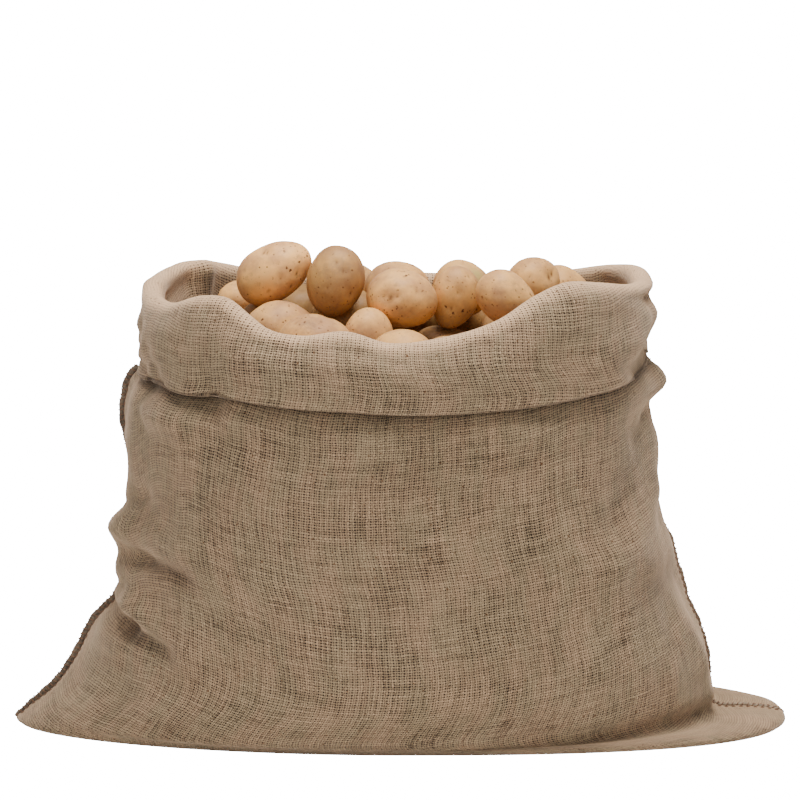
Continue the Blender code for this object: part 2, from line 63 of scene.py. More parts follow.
# ---- the cloth's shape, as cut and sewn (mm) --------------------------------------------
FOLD_HALF_LENGTH = 306.0  # bottom fold, without the rounded ear tips
FOLD_BOW = 22.0  # the bottom fold bows this far to the front
CUFF_ROLL = 9.0  # radius of the rolled-over mouth edge
ROLL_FOLLOWS = 0.5  # share of the cuff's depth down to which it follows the wall's folds
TUCK_GAP = 5.5  # tucked hem to the wall behind it
FLAT_WIDTH = 650.0  # the empty sack, seam to seam
LUMP_WAVES = 7  # waves in all directions that make up soft lumps
LUMP_SPREAD = (0.7, 1.5)  # how much shorter or longer than their size each may be
LUMP_PEAK = 3  # about as high as their sum comes
FLOOR_CLEAR = 8.0  # no fold below this height and all of it from twice as high: a flat base
FOLD_ENDS = 0.5  # of the way past a fold's end, what doesn't count, so that it runs out gently
Swell = namedtuple("Swell", "rise size seed")
SWELLS = (Swell(1.3, 95, 5), Swell(0.7, 48, 6))  # the filling's soft bulges in the wall
SWELL_FROM = (12.0, 40.0)  # they come in between these heights
SWELL_TO = (285.0, 330.0)  # and go out between these
PATH_STEPS = 8  # points for each span of a smooth curve
EASED_STEPS = 12  # and for each span between two rows of a table
EASED_SCALE = 1000  # a table's values are brought near its shares before they are eased
ARC_STEPS = 90  # points on each half of a level section
FACE_COLUMNS = 128  # columns of the fine cloth over each face, 5 mm apart
FLOOR_STEPS = 9  # its rows from the bottom fold to the foot of the wall
WALL_STEPS = 92  # from there up to the cuff's roll
ROLL_STEPS = 4  # and for each span of the cuff
HEM_SHADE = 5.0  # painted shadow of the cuff, on the wall this far up and down from its lower edge
HEM_SHADE_DROP = 1.0  # and is deepest this far below that edge
DEEP_CREASE = 9.0  # a crease this deep gets the darkest painted shade
PALE_RIM = 10.0  # the rim is painted pale down to this depth: painted highlight on its top, with fibres rubbed up there

# The seams: a ridge of two selvedges, the twine wound round it and a row of stitches.
SEAM_START = 2.0  # the seam's beginning over the floor
SEAM_END_GAP = 3.0  # the seam's end to the cuff that hides it
Selvedge = namedtuple("Selvedge", "height width")
SELVEDGES = {"left": Selvedge(5.8, 3.2), "right": Selvedge(2.6, 2.8)}
SELVEDGE_SUNK = 0.7  # of their height, what lies between the two faces of the cloth
SELVEDGE_LOW = 0.5  # how much of their height they have at the lower end
SELVEDGE_TIP = 30.0  # and the length over which they come up to all of it
SELVEDGE_STEP = 2.0  # from one ring of the ridge to the next
SELVEDGE_SIDES = 12
LAID_BACK = math.radians(72)  # how far they lie over to the back, at the heights that follow
Laid = namedtuple("Laid", "start full until end")
LAID = {"left": Laid(112, 130, 226, 240), "right": Laid(196, 214, 400, 410)}
Ripple = namedtuple("Ripple", "size turn start")  # turn in radians a mm
TALL_RIPPLES = (Ripple(0.35, 0.41, 0.0), Ripple(0.35, 0.173, 1.0))
WIDE_RIPPLES = (Ripple(0.15, 0.9, 0.0),)
SPINE_REACH = 2  # columns on each side that tell how the cloth lies at the seam
SPINE_CALMED = 3  # how often the seam's directions are evened out
TWINE_SIDES = 6
TWINE_TIP = 0.55  # its ends are this much thinner
OVERCAST_STEPS = 10  # points for each turn of the twine round the selvedges
OVERCAST_OUT = 0.3  # the twine's middle over their surface
OVERCAST_LOW = 0.2  # and over the cloth, where it is lowest
OVERCAST_END = 1.0  # it stops this far from the seam's ends
STITCH_SHARE = 0.62  # of a running stitch's pitch, what shows
STITCH_ARCH = 0.9  # how far its middle rises over its ends
STITCH_SUNK = 0.35  # how deep its ends lie in the cloth
STITCH_POINTS = 5
STITCH_CLEAR = 3.0  # the row of stitches stops this much short of the seam's ends
STITCH_FIRST = 2.0  # and its first one starts this far along it

# Level sections of the filled sack: its two side seams, its front and back, and how square
# each end is, where 2 is an oval and more is squarer.
Section = namedtuple("Section", "height left right left_y right_y front back left_end right_end")
SECTIONS = (
    Section(0, -324, 326, 0, 16, -129, 131, 1.90, 2.60),
    Section(4, -328, 330, 0, 16, -143, 146, 1.88, 2.55),
    Section(7, -323, 320, 0, 16, -148, 151, 1.86, 2.45),
    Section(9.5, -320, 295, 0, 15, -152, 155, 1.84, 2.25),
    Section(11.5, -318, 270, 0, 15, -155, 158, 1.81, 2.05),
    Section(18, -309, 262, 0, 14, -160, 160, 1.78, 2.00),
    Section(26, -298, 262, 0, 12, -163, 163, 1.82, 2.05),
    Section(40, -283, 262, 0, 10, -166, 167, 1.76, 2.10),
    Section(60, -269, 260, 2, 8, -168, 169, 1.80, 2.15),
    Section(86, -254, 252, 6, 5, -169, 171, 1.95, 2.20),
    Section(110, -236, 241, 12, 2, -169, 172, 2.15, 2.30),
    Section(131, -225, 235, 18, 0, -169, 172, 2.35, 2.40),
    Section(155, -225, 231, 22, 0, -169, 172, 2.45, 2.50),
    Section(182, -222, 219, 22, 0, -168, 171, 2.50, 2.55),
    Section(215, -221, 210, 18, 4, -167, 169, 2.55, 2.60),
    Section(255, -223, 210, 8, 12, -166, 166, 2.60, 2.60),
    Section(282, -223, 209, 3, 14, -165, 163, 2.60, 2.60),
    Section(298, -219, 211, 0, 14, -163, 160, 2.55, 2.55),
    Section(307, -211, 208, 0, 12, -161, 158, 2.52, 2.52),
    Section(316, -205, 200, 0, 6, -159, 156, 2.50, 2.50),
    Section(330, -201, 195, 0, 0, -157, 154, 2.45, 2.45),
    Section(360, -199, 195, 0, 0, -154, 151, 2.40, 2.40),
    Section(395, -197, 193, 0, 0, -151, 148, 2.40, 2.40),
)

# The mouth along each face: heights of the cuff's rim and lower edge, and how far it puffs.
Mouth = namedtuple("Mouth", "share rim hem puff")
FRONT_MOUTH = (
    Mouth(0.00, 377, 309, 15),
    Mouth(0.05, 371, 306, 17),
    Mouth(0.10, 368, 304, 21),
    Mouth(0.16, 367, 303, 22),
    Mouth(0.22, 376, 299, 22),
    Mouth(0.26, 375, 299, 21),
    Mouth(0.29, 364, 298, 21),
    Mouth(0.32, 353, 296, 21),
    Mouth(0.37, 348, 293, 22),
    Mouth(0.43, 352, 291, 22),
    Mouth(0.49, 343, 289, 23),
    Mouth(0.56, 347, 289, 23),
    Mouth(0.64, 361, 292, 22),
    Mouth(0.69, 378, 295, 23),
    Mouth(0.74, 388, 299, 24),
    Mouth(0.79, 386, 303, 23),
    Mouth(0.86, 381, 309, 18),
    Mouth(0.93, 380, 313, 14),
    Mouth(1.00, 380, 315, 12),
)
BACK_MOUTH = (
    Mouth(0.00, 377, 309, 15),
    Mouth(0.06, 377, 307, 20),
    Mouth(0.12, 381, 306, 25),
    Mouth(0.17, 384, 305, 24),
    Mouth(0.22, 379, 303, 23),
    Mouth(0.28, 371, 300, 23),
    Mouth(0.50, 366, 297, 22),
    Mouth(0.72, 368, 300, 23),
    Mouth(0.86, 381, 307, 20),
    Mouth(0.94, 384, 311, 15),
    Mouth(1.00, 380, 315, 12),
)

# The cuff's way down from the rim: how far down it is as a share of its depth, a further
# drop, and how far it stands off the wall, by a share of its puff and by a fixed amount.
Roll = namedtuple("Roll", "share drop puff_share stand_off")
ROLL = (
    Roll(0.0, 3.0, 0.0, 2.6),
    Roll(0.0, 0.0, 0.0, CUFF_ROLL),
    Roll(0.0, 3.0, 0.0, 1.75 * CUFF_ROLL),
    Roll(0.0, 10.0, 0.9, 0.0),
    Roll(0.36, 0.0, 1.0, 0.0),
    Roll(0.62, 0.0, 1.0, 0.0),
    Roll(0.86, 0.0, 0.9, 0.0),
    Roll(0.97, 0.0, 0.66, 0.0),
    Roll(1.0, -1.0, 0.2, TUCK_GAP),
    Roll(0.93, 0.0, 0.0, TUCK_GAP + 0.5),
    Roll(0.82, 0.0, 0.0, TUCK_GAP),
)

# Each fold runs straight from one point of a face to another, given by a share of the
# face's width and a height. FOLDS are the main ones, which the solids have too. The heights
# of the cuff's folds are shares of its depth, from the rim down.
Fold = namedtuple("Fold", "face share_a height_a share_b height_b half_width rise")
FOLDS = (
    Fold(FRONT, 0.075, 214, 0.075, 148, 30, 15.0),
    Fold(FRONT, 0.055, 172, 0.085, 171, 15, 9.0),
    Fold(FRONT, 0.09, 180, 0.21, 172, 11, 4.5),
    Fold(FRONT, 0.03, 184, 0.13, 204, 7, -4.0),
    Fold(FRONT, 0.10, 156, 0.21, 146, 8, -9.0),
    Fold(FRONT, 0.03, 126, 0.09, 124, 6, -5.0),
    Fold(FRONT, 0.05, 140, 0.14, 137, 8, 3.5),
    Fold(FRONT, 0.03, 106, 0.11, 95, 8, -8.0),
    Fold(FRONT, 0.11, 95, 0.19, 84, 8, -6.0),
    Fold(FRONT, 0.06, 122, 0.13, 112, 10, 5.0),
    Fold(FRONT, 0.13, 112, 0.21, 88, 10, 5.0),
    Fold(FRONT, 0.02, 262, 0.10, 252, 16, 3.0),
    Fold(FRONT, 0.95, 212, 0.78, 158, 15, 5.0),
    Fold(FRONT, 0.945, 303, 0.945, 301, 10, 9.0),
    Fold(FRONT, 0.935, 250, 0.935, 234, 24, 8.0),
    Fold(FRONT, 0.95, 140, 0.86, 132, 15, -4.5),
    Fold(FRONT, 0.93, 78, 0.95, 22, 12, 5.0),
    Fold(FRONT, 0.99, 293, 0.90, 289, 13, 4.0),
    Fold(FRONT, 0.99, 266, 0.86, 258, 10, -3.0),
    Fold(FRONT, 0.30, 268, 0.62, 262, 14, -3.0),
    Fold(BACK, 0.02, 354, 0.13, 368, 9, 4.5),
    Fold(BACK, 0.165, 350, 0.175, 392, 12, -9.0),
    Fold(BACK, 0.97, 358, 0.86, 366, 9, 5.0),
    Fold(BACK, 0.04, 150, 0.22, 96, 12, -6.0),
    Fold(BACK, 0.06, 178, 0.28, 134, 16, 5.0),
    Fold(BACK, 0.96, 168, 0.76, 112, 12, -6.0),
    Fold(BACK, 0.94, 200, 0.70, 150, 18, 5.0),
    Fold(BACK, 0.34, 262, 0.70, 250, 15, -4.0),
    Fold(BACK, 0.44, 60, 0.60, 92, 16, 4.0),
)
SOFT_FOLDS = (
    Fold(FRONT, 0.00, 290, 0.00, 244, 12, 6.0),
    Fold(FRONT, 0.06, 290, 0.065, 240, 16, -4.5),
    Fold(FRONT, 0.00, 117, 0.00, 50, 14, 2.5),
    Fold(FRONT, 0.235, 303, 0.262, 288, 8, -6.0),
    Fold(FRONT, 0.285, 300, 0.285, 282, 6, 3.0),
    Fold(FRONT, 0.125, 308, 0.14, 299, 7, -6.0),
    Fold(FRONT, 0.10, 161, 0.155, 147, 6, -1.0),
    Fold(FRONT, 0.175, 148, 0.215, 146, 9, 3.0),
    Fold(FRONT, 0.97, 283, 0.90, 274, 9, -7.0),
    Fold(FRONT, 0.94, 204, 0.93, 196, 12, -5.0),
    Fold(FRONT, 1.00, 112, 1.00, 66, 16, 3.0),
    Fold(FRONT, 0.07, 284, 0.20, 279, 13, 4.5),
    Fold(FRONT, 0.20, 279, 0.48, 268, 13, 5.5),
    Fold(FRONT, 0.48, 268, 0.66, 270, 13, 5.5),
    Fold(FRONT, 0.66, 270, 0.84, 284, 13, 4.5),
    Fold(FRONT, 0.13, 292, 0.14, 268, 5, -2.4),
    Fold(FRONT, 0.05, 284, 0.11, 276, 6, -2.0),
    Fold(FRONT, 0.12, 88, 0.13, 60, 6, -1.6),
    Fold(FRONT, 0.02, 130, 0.10, 128, 6, 2.0),
    Fold(FRONT, 0.22, 246, 0.40, 238, 18, 1.4),
    Fold(FRONT, 0.46, 252, 0.60, 214, 20, -1.2),
    Fold(FRONT, 0.86, 240, 0.80, 196, 12, -1.8),
    Fold(FRONT, 0.88, 104, 0.84, 62, 10, -2.0),
    Fold(FRONT, 0.97, 60, 0.975, 26, 5, 2.2),
    Fold(FRONT, 0.74, 24, 0.95, 27, 11, 4.0),
    Fold(FRONT, 0.30, 46, 0.42, 26, 12, 1.6),
    Fold(FRONT, 0.58, 34, 0.74, 30, 10, -1.4),
    Fold(FRONT, 0.16, 30, 0.24, 18, 8, -1.4),
    Fold(BACK, 0.12, 262, 0.20, 226, 9, -2.4),
    Fold(BACK, 0.80, 270, 0.74, 222, 10, -2.4),
    Fold(BACK, 0.50, 190, 0.58, 130, 16, -2.0),
    Fold(BACK, 0.30, 70, 0.24, 30, 10, -2.6),
    Fold(BACK, 0.72, 66, 0.78, 26, 10, -2.6),
)
CUFF_FOLDS = (
    Fold(FRONT, 0.03, 0.15, 0.09, 0.75, 8, -5.0),
    Fold(FRONT, 0.13, 0.60, 0.17, 1.00, 7, -4.5),
    Fold(FRONT, 0.90, 0.12, 0.73, 0.52, 10, -4.5),
    Fold(FRONT, 0.92, 0.40, 0.80, 0.75, 11, 4.5),
    Fold(FRONT, 0.99, 0.72, 0.84, 0.95, 9, -4.0),
    Fold(BACK, 0.10, 0.05, 0.16, 0.80, 10, -5.0),
    Fold(BACK, 0.34, 0.10, 0.30, 0.90, 12, 4.0),
    Fold(BACK, 0.62, 0.10, 0.66, 0.90, 12, -4.5),
    Fold(BACK, 0.90, 0.05, 0.84, 0.85, 10, -5.0),
)
SOFT_CUFF_FOLDS = (
    Fold(FRONT, 0.02, 0.94, 0.98, 0.94, 13, -6.0),
    Fold(FRONT, 0.06, 0.32, 0.94, 0.32, 14, 2.5),
    Fold(FRONT, 0.10, 0.36, 0.045, 0.95, 6, -5.0),
    Fold(FRONT, 0.12, 0.90, 0.145, 1.02, 6, -5.5),
    Fold(FRONT, 0.25, 0.92, 0.275, 1.04, 5, -5.0),
    Fold(FRONT, 0.20, 0.20, 0.26, 0.70, 9, -2.0),
    Fold(FRONT, 0.40, 0.15, 0.46, 0.60, 12, 1.6),
    Fold(FRONT, 0.54, 0.30, 0.60, 0.90, 10, -1.6),
    Fold(FRONT, 0.70, 0.10, 0.68, 0.55, 8, -1.6),
    Fold(FRONT, 0.92, 0.05, 0.90, 0.45, 6, -2.4),
    Fold(BACK, 0.46, 0.20, 0.50, 0.80, 9, -2.0),
    Fold(BACK, 0.76, 0.20, 0.74, 0.80, 8, 2.0),
)

# ---- the weave (mm) ---------------------------------------------------------------------
WARP_PITCH = 1.89  # upright threads, which lie in pairs
WEFT_PITCH = 2.23
Hang = namedtuple("Hang", "share drop")
HANGS = (  # how far the level threads hang down at each share of a face
    Hang(0.00, -14),
    Hang(0.06, 3),
    Hang(0.12, 14),
    Hang(0.22, 24),
    Hang(0.31, 34),
    Hang(0.40, 37),
    Hang(0.49, 33),
    Hang(0.58, 24),
    Hang(0.67, 10),
    Hang(0.75, -6),
    Hang(0.85, -25),
    Hang(0.93, -43),
    Hang(1.00, -58),
)
Lean = namedtuple("Lean", "share_out share_in low high shift")
LEANS = (  # how far the upright threads lean over, and where
    Lean(0.55, 0.22, 40, 165, 15),
    Lean(0.40, 0.65, 180, 300, 13),
)
TURNS_BELOW, TURNS_ABOVE = 5, 55  # around the hem's height, level threads turn to the rim's line

# ---- the stage (m) ----------------------------------------------------------------------
FLOOR_NEAR, FLOOR_FAR = -4.0, 4.2  # the flat part, from behind the camera to the curve
FLOOR_HALF_WIDTH = 5.0
CURVE_RADIUS = 1.2
WALL_HEIGHT = 3.5  # over the curve
FLOOR_ROWS, CURVE_ROWS, WALL_ROWS = 10, 20, 10
KEY_LAMP = ((0.15, -0.3, 2.15), 1.2)  # where it hangs, and how wide it is
FILL_LAMP = ((-0.7, -2.6, 0.9), 1.4)
LAMPS_AIM = 0.2  # both point at this height over the middle of the sack
CAMERA_AIM = 0.276  # and the camera at this one
SENSOR_WIDTH = 36.0  # in mm, as the lens


def unit(vector):
    """The direction of a vector."""
    return vector / np.linalg.norm(vector)


def run_lengths(points):
    """How far along a polyline each of its points lies."""
    steps = np.linalg.norm(np.diff(points, axis=0), axis=1)
    return np.concatenate(([0.0], np.cumsum(steps)))


def part_way(values, lengths, wanted):
    """Values at the wanted lengths, from their rows at the given lengths."""
    return np.stack([np.interp(wanted, lengths, axis) for axis in values.T], axis=-1)


def walk(points, shares):
    """Points at the given shares of the length of a polyline."""
    lengths = run_lengths(points)
    return part_way(points, lengths, np.asarray(shares) * lengths[-1])


def smooth_path(points, steps=PATH_STEPS):
    """A smooth curve through the points, by cubic spans with chord-length tangents."""
    chord = np.linalg.norm(np.diff(points, axis=0), axis=1)[:, None]
    slope = np.diff(points, axis=0) / chord
    inner = (slope[:-1] * chord[1:] + slope[1:] * chord[:-1]) / (chord[1:] + chord[:-1])
    tangent = np.vstack((slope[:1], inner, slope[-1:]))
    spans = [points[:1]]
    for a, b, ta, tb, length in zip(points, points[1:], tangent, tangent[1:], chord):
        t = np.linspace(0, 1, steps + 1)[1:, None]
        spans.append(
            (2 * t**3 - 3 * t**2 + 1) * a
            + (t**3 - 2 * t**2 + t) * length * ta
            + (3 * t**2 - 2 * t**3) * b
            + (t**3 - t**2) * length * tb
        )
    return np.vstack(spans)


def eased_values(rows, shares, column):
    """One column of a table at shares between its rows, eased from row to row."""
    table_shares = [row.share for row in rows]
    values = np.array([getattr(row, column) for row in rows])
    path = smooth_path(np.column_stack((table_shares, values / EASED_SCALE)), EASED_STEPS)
    return np.interp(shares, path[:, 0], path[:, 1]) * EASED_SCALE


def section_arc(section, face, shares):
    """One face of a level section, from the left seam to the right one."""
    apex_y = section.front if face == FRONT else section.back
    apex = np.array([(section.left + section.right) / 2, apex_y])
    angle = np.linspace(0, math.pi / 2, ARC_STEPS)
    halves = []
    for tip, end in (
        ((section.left, section.left_y), section.left_end),
        ((section.right, section.right_y), section.right_end),
    ):
        x = apex[0] + (tip[0] - apex[0]) * np.cos(angle) ** (2 / end)
        y = tip[1] + (apex[1] - tip[1]) * np.sin(angle) ** (2 / end)
        halves.append(np.column_stack((x, y)))
    return walk(np.vstack((halves[0], halves[1][-2::-1])), shares)


def wall_paths(face, shares):
    """The path of each column up the outer side of a face, from the fold to over the rim."""
    levels = [section_arc(section, face, shares) for section in SECTIONS]
    paths = []
    for column, share in enumerate(shares):
        across = 2 * share - 1
        points = [(FOLD_HALF_LENGTH * across, -FOLD_BOW * (1 - across**2), 0.0)]
        for section, level in zip(SECTIONS, levels):
            points.append((*level[column], section.height))
        path = smooth_path(np.array(points, dtype=float))
        path[:, 2] = np.maximum(path[:, 2], 0.0)
        paths.append(path)
    return paths


def at_height(path, height):
    """The point of a column's path at a height on the wall."""
    wall = path[PATH_STEPS:]
    return np.array([np.interp(height, wall[:, 2], wall[:, 0]),
                     np.interp(height, wall[:, 2], wall[:, 1]), height])


def outward(ring):
    """Level unit normals of a closed ring of points, away from its middle."""
    along = np.roll(ring[:-1], -1, axis=0) - np.roll(ring[:-1], 1, axis=0)
    normal = np.column_stack((along[:, 1], -along[:, 0], np.zeros(len(along))))
    normal /= np.linalg.norm(normal, axis=1)[:, None]
    return np.vstack((normal, normal[:1]))


def ridge(fold, shares, heights, height_scale):
    """Rise of one fold at points of its own face."""
    scale = np.array([FLAT_WIDTH, height_scale])
    start = np.array([fold.share_a, fold.height_a]) * scale
    run = np.array([fold.share_b, fold.height_b]) * scale - start
    place = np.column_stack((shares, heights)) * scale - start
    length = float(np.linalg.norm(run))
    along = place @ run / length
    beyond = np.maximum(0.0, np.maximum(-along, along - length))
    nearest = np.outer(np.clip(along / length, 0.0, 1.0), run)
    aside = np.linalg.norm(place - nearest, axis=1) - FOLD_ENDS * beyond
    return fold.rise * np.exp(-((aside / fold.half_width) ** 2))


def relief(folds, faces, shares, heights, height_scale=1.0):
    """Rise of all folds at points; a fold at a seam runs on round to the other face."""
    total = np.zeros(len(shares))
    for fold in folds:
        own = faces == fold.face
        direct = ridge(fold, shares, heights, height_scale)
        wrapped = ridge(fold, -shares, heights, height_scale)
        wrapped += ridge(fold, 2 - shares, heights, height_scale)
        total += np.where(own, direct, wrapped)
    return total


def softened(value, low, high):
    """From 0 at low to 1 at high, easing in and out."""
    t = np.clip((value - low) / (high - low), 0.0, 1.0)
    return t * t * (3 - 2 * t)


def lumps(points, size, seed):
    """Soft unevenness of about -1 to 1, with waves of a given size in mm."""
    rng = np.random.default_rng(seed)
    total = np.zeros(len(points))
    for _ in range(LUMP_WAVES):
        way = unit(rng.normal(size=3)) * 2 * math.pi / size * rng.uniform(*LUMP_SPREAD)
        total += np.sin(points @ way + rng.uniform(0, 2 * math.pi))
    return total / LUMP_PEAK


def unfolded_rings(paths, rim):
    """Rows of points over the floor and up the wall to the cuff's roll, before any fold."""
    lines = []
    for path, top in zip(paths, rim):
        floor, wall = path[: PATH_STEPS + 1], path[PATH_STEPS:]
        edge = at_height(path, top - CUFF_ROLL)
        wall = np.vstack((wall[wall[:, 2] < edge[2]], edge))
        floor_points = walk(floor, np.linspace(0, 1, FLOOR_STEPS + 1)[:-1])
        lines.append(np.vstack((floor_points, walk(wall, np.linspace(0, 1, WALL_STEPS + 1)))))
    return [np.array(ring) for ring in zip(*lines)]


Cloth = namedtuple("Cloth", "faces shares rings lengths hem_height creased worn")


@functools.cache
def draped_cloth():
    """Rings of points over the cloth's outer face and how far up the cloth each one is."""
    steps = np.linspace(0, 1, FACE_COLUMNS + 1)
    faces = np.array([FRONT] * (FACE_COLUMNS + 1) + [BACK] * FACE_COLUMNS)
    shares = np.concatenate((steps, steps[-2::-1]))
    paths = wall_paths(FRONT, steps) + wall_paths(BACK, steps)[-2::-1]
    rim, hem, puff = (
        np.where(
            faces == FRONT,
            eased_values(FRONT_MOUTH, shares, part),
            eased_values(BACK_MOUTH, shares, part),
        )
        for part in ("rim", "hem", "puff")
    )
    rings = unfolded_rings(paths, rim)
    mouth_normals = outward(rings[-1])
    creased = [np.zeros(len(shares))]
    for ring in rings[1:]:
        heights = ring[:, 2].copy()
        free = np.clip((heights - FLOOR_CLEAR) / FLOOR_CLEAR, 0.0, 1.0)
        rise = relief(FOLDS + SOFT_FOLDS, faces, shares, heights)
        calm = softened(heights, *SWELL_FROM) * (1 - softened(heights, *SWELL_TO))
        swell = sum(bulge.rise * lumps(ring, bulge.size, bulge.seed) for bulge in SWELLS)
        ring += outward(ring) * (free * rise + calm * swell)[:, None]
        # painted shade: the cuff's shadow on the wall just under its lower edge, and shade in the
        # deep creases
        shaded = np.exp(-(((hem - HEM_SHADE_DROP - heights) / HEM_SHADE) ** 2))
        creased.append(shaded + np.clip(-rise / DEEP_CREASE, 0, 1))
    depth = rim - hem
    turned = [rings[-1]]
    rim_rise = relief(FOLDS + SOFT_FOLDS, faces, shares, rim)
    for roll in ROLL:
        fold = relief(CUFF_FOLDS + SOFT_CUFF_FOLDS, faces, shares,
                      np.full(len(shares), roll.share), depth.mean())
        stand = roll.stand_off + roll.puff_share * (puff + fold)
        stand += max(0.0, 1 - roll.share / ROLL_FOLLOWS) * rim_rise
        height = rim - roll.share * depth - roll.drop
        places = np.array([at_height(path, level) for path, level in zip(paths, height)])
        turned.append(places + mouth_normals * stand[:, None])
    outside = [roll.share for roll in ROLL].index(1.0) * ROLL_STEPS  # rows down to the hem
    # rows on the cuff's outside get none; the tucked rows under it get full painted shade
    creased += [np.zeros(len(shares))] * outside
    creased += [np.ones(len(shares))] * (len(ROLL) * ROLL_STEPS - outside)
    columns = [smooth_path(np.array(column), ROLL_STEPS)[1:] for column in zip(*turned)]
    rings += [np.array(ring) for ring in zip(*columns)]
    rings = np.array(rings)
    rings[:, :, 2] = np.maximum(rings[:, :, 2], 0.0)
    # pale at the rim: painted highlight on its top, with wear
    worn = softened(rings[:, :, 2], rim - PALE_RIM, rim)
    along = np.linalg.norm(np.diff(rings, axis=0), axis=2)
    lengths = np.vstack((np.zeros(len(shares)), np.cumsum(along, axis=0)))
    lengths -= lengths[FLOOR_STEPS]
    return Cloth(faces, shares, rings, lengths, hem, np.array(creased), worn)


def weave_places(cloth):
    """Where each point of the cloth lies on the flat length of hessian, in mm.

    The level threads follow the bottom fold up the wall, but the mouth's edge on the cuff.
    """
    along = np.where(cloth.faces == FRONT, cloth.shares, 2 - cloth.shares) * FLAT_WIDTH
    drop = eased_values(HANGS, cloth.shares, "drop")
    heights = cloth.rings[:, :, 2]
    shift = sum(
        lean.shift * softened(cloth.shares, lean.share_out, lean.share_in)
        * softened(heights, lean.low, lean.high)
        for lean in LEANS
    )
    from_fold = cloth.lengths + drop
    from_edge = cloth.lengths - cloth.lengths[-1] + from_fold[-1].mean()
    hem = cloth.hem_height
    turned = softened(heights, hem - TURNS_BELOW, hem + TURNS_ABOVE)
    turned[FLOOR_STEPS + WALL_STEPS:] = 1.0
    return along + shift, from_fold + turned * (from_edge - from_fold)


# ---- helpers ----------------------------------------------------------------------------
def linear(hex_colour):
    """An sRGB hex colour as linear red, green, blue and alpha."""
    values = [int(hex_colour[i:i + 2], 16) / 255 for i in (1, 3, 5)]
    return (*(v / 12.92 if v <= 0.04045 else ((v + 0.055) / 1.055) ** 2.4 for v in values), 1)


def add(tree, kind, *values, out=0, **settings):
    """A shader node with its settings; each value goes to the next input, or a link does."""
    made = tree.nodes.new("ShaderNode" + kind)
    for name, value in settings.items():
        setattr(made, name, value)
    named = values[0] if values and isinstance(values[0], dict) else dict(enumerate(values))
    for key, value in named.items():
        if isinstance(value, bpy.types.NodeSocket):
            tree.links.new(value, made.inputs[key])
        elif value is not None:
            made.inputs[key].default_value = value
    return made.outputs[out]


def new_material(name, **settings):
    """A material with a Principled shader that has its constants set on its own sockets."""
    made = bpy.data.materials.new(name)
    made.use_nodes = True
    shader = made.node_tree.nodes["Principled BSDF"]
    for socket, value in settings.items():
        shader.inputs[socket.replace("_", " ")].default_value = value
    return made, made.node_tree, shader


def new_object(name, mesh, finish):
    """An object of a mesh, with its material, in the scene."""
    made = bpy.data.objects.new(name, mesh)
    made.data.materials.clear()
    made.data.materials.append(finish)
    bpy.context.scene.collection.objects.link(made)
    return made


def point_field(mesh, name, values):
    """A value at every vertex, which the materials read by its name."""
    layer = mesh.attributes.new(name, "FLOAT", "POINT")
    layer.data.foreach_set("value", np.asarray(values, dtype=np.float32).ravel())


def apply_modifiers(thing):
    """Applies the modifiers of a piece in their order."""
    bpy.ops.object.select_all(action="DESELECT")
    thing.select_set(True)
    bpy.context.view_layer.objects.active = thing
    for modifier in list(thing.modifiers):
        bpy.ops.object.modifier_apply(modifier=modifier.name)


# ---- materials --------------------------------------------------------------------------
Weave = namedtuple("Weave", "place tone profile hole slant")


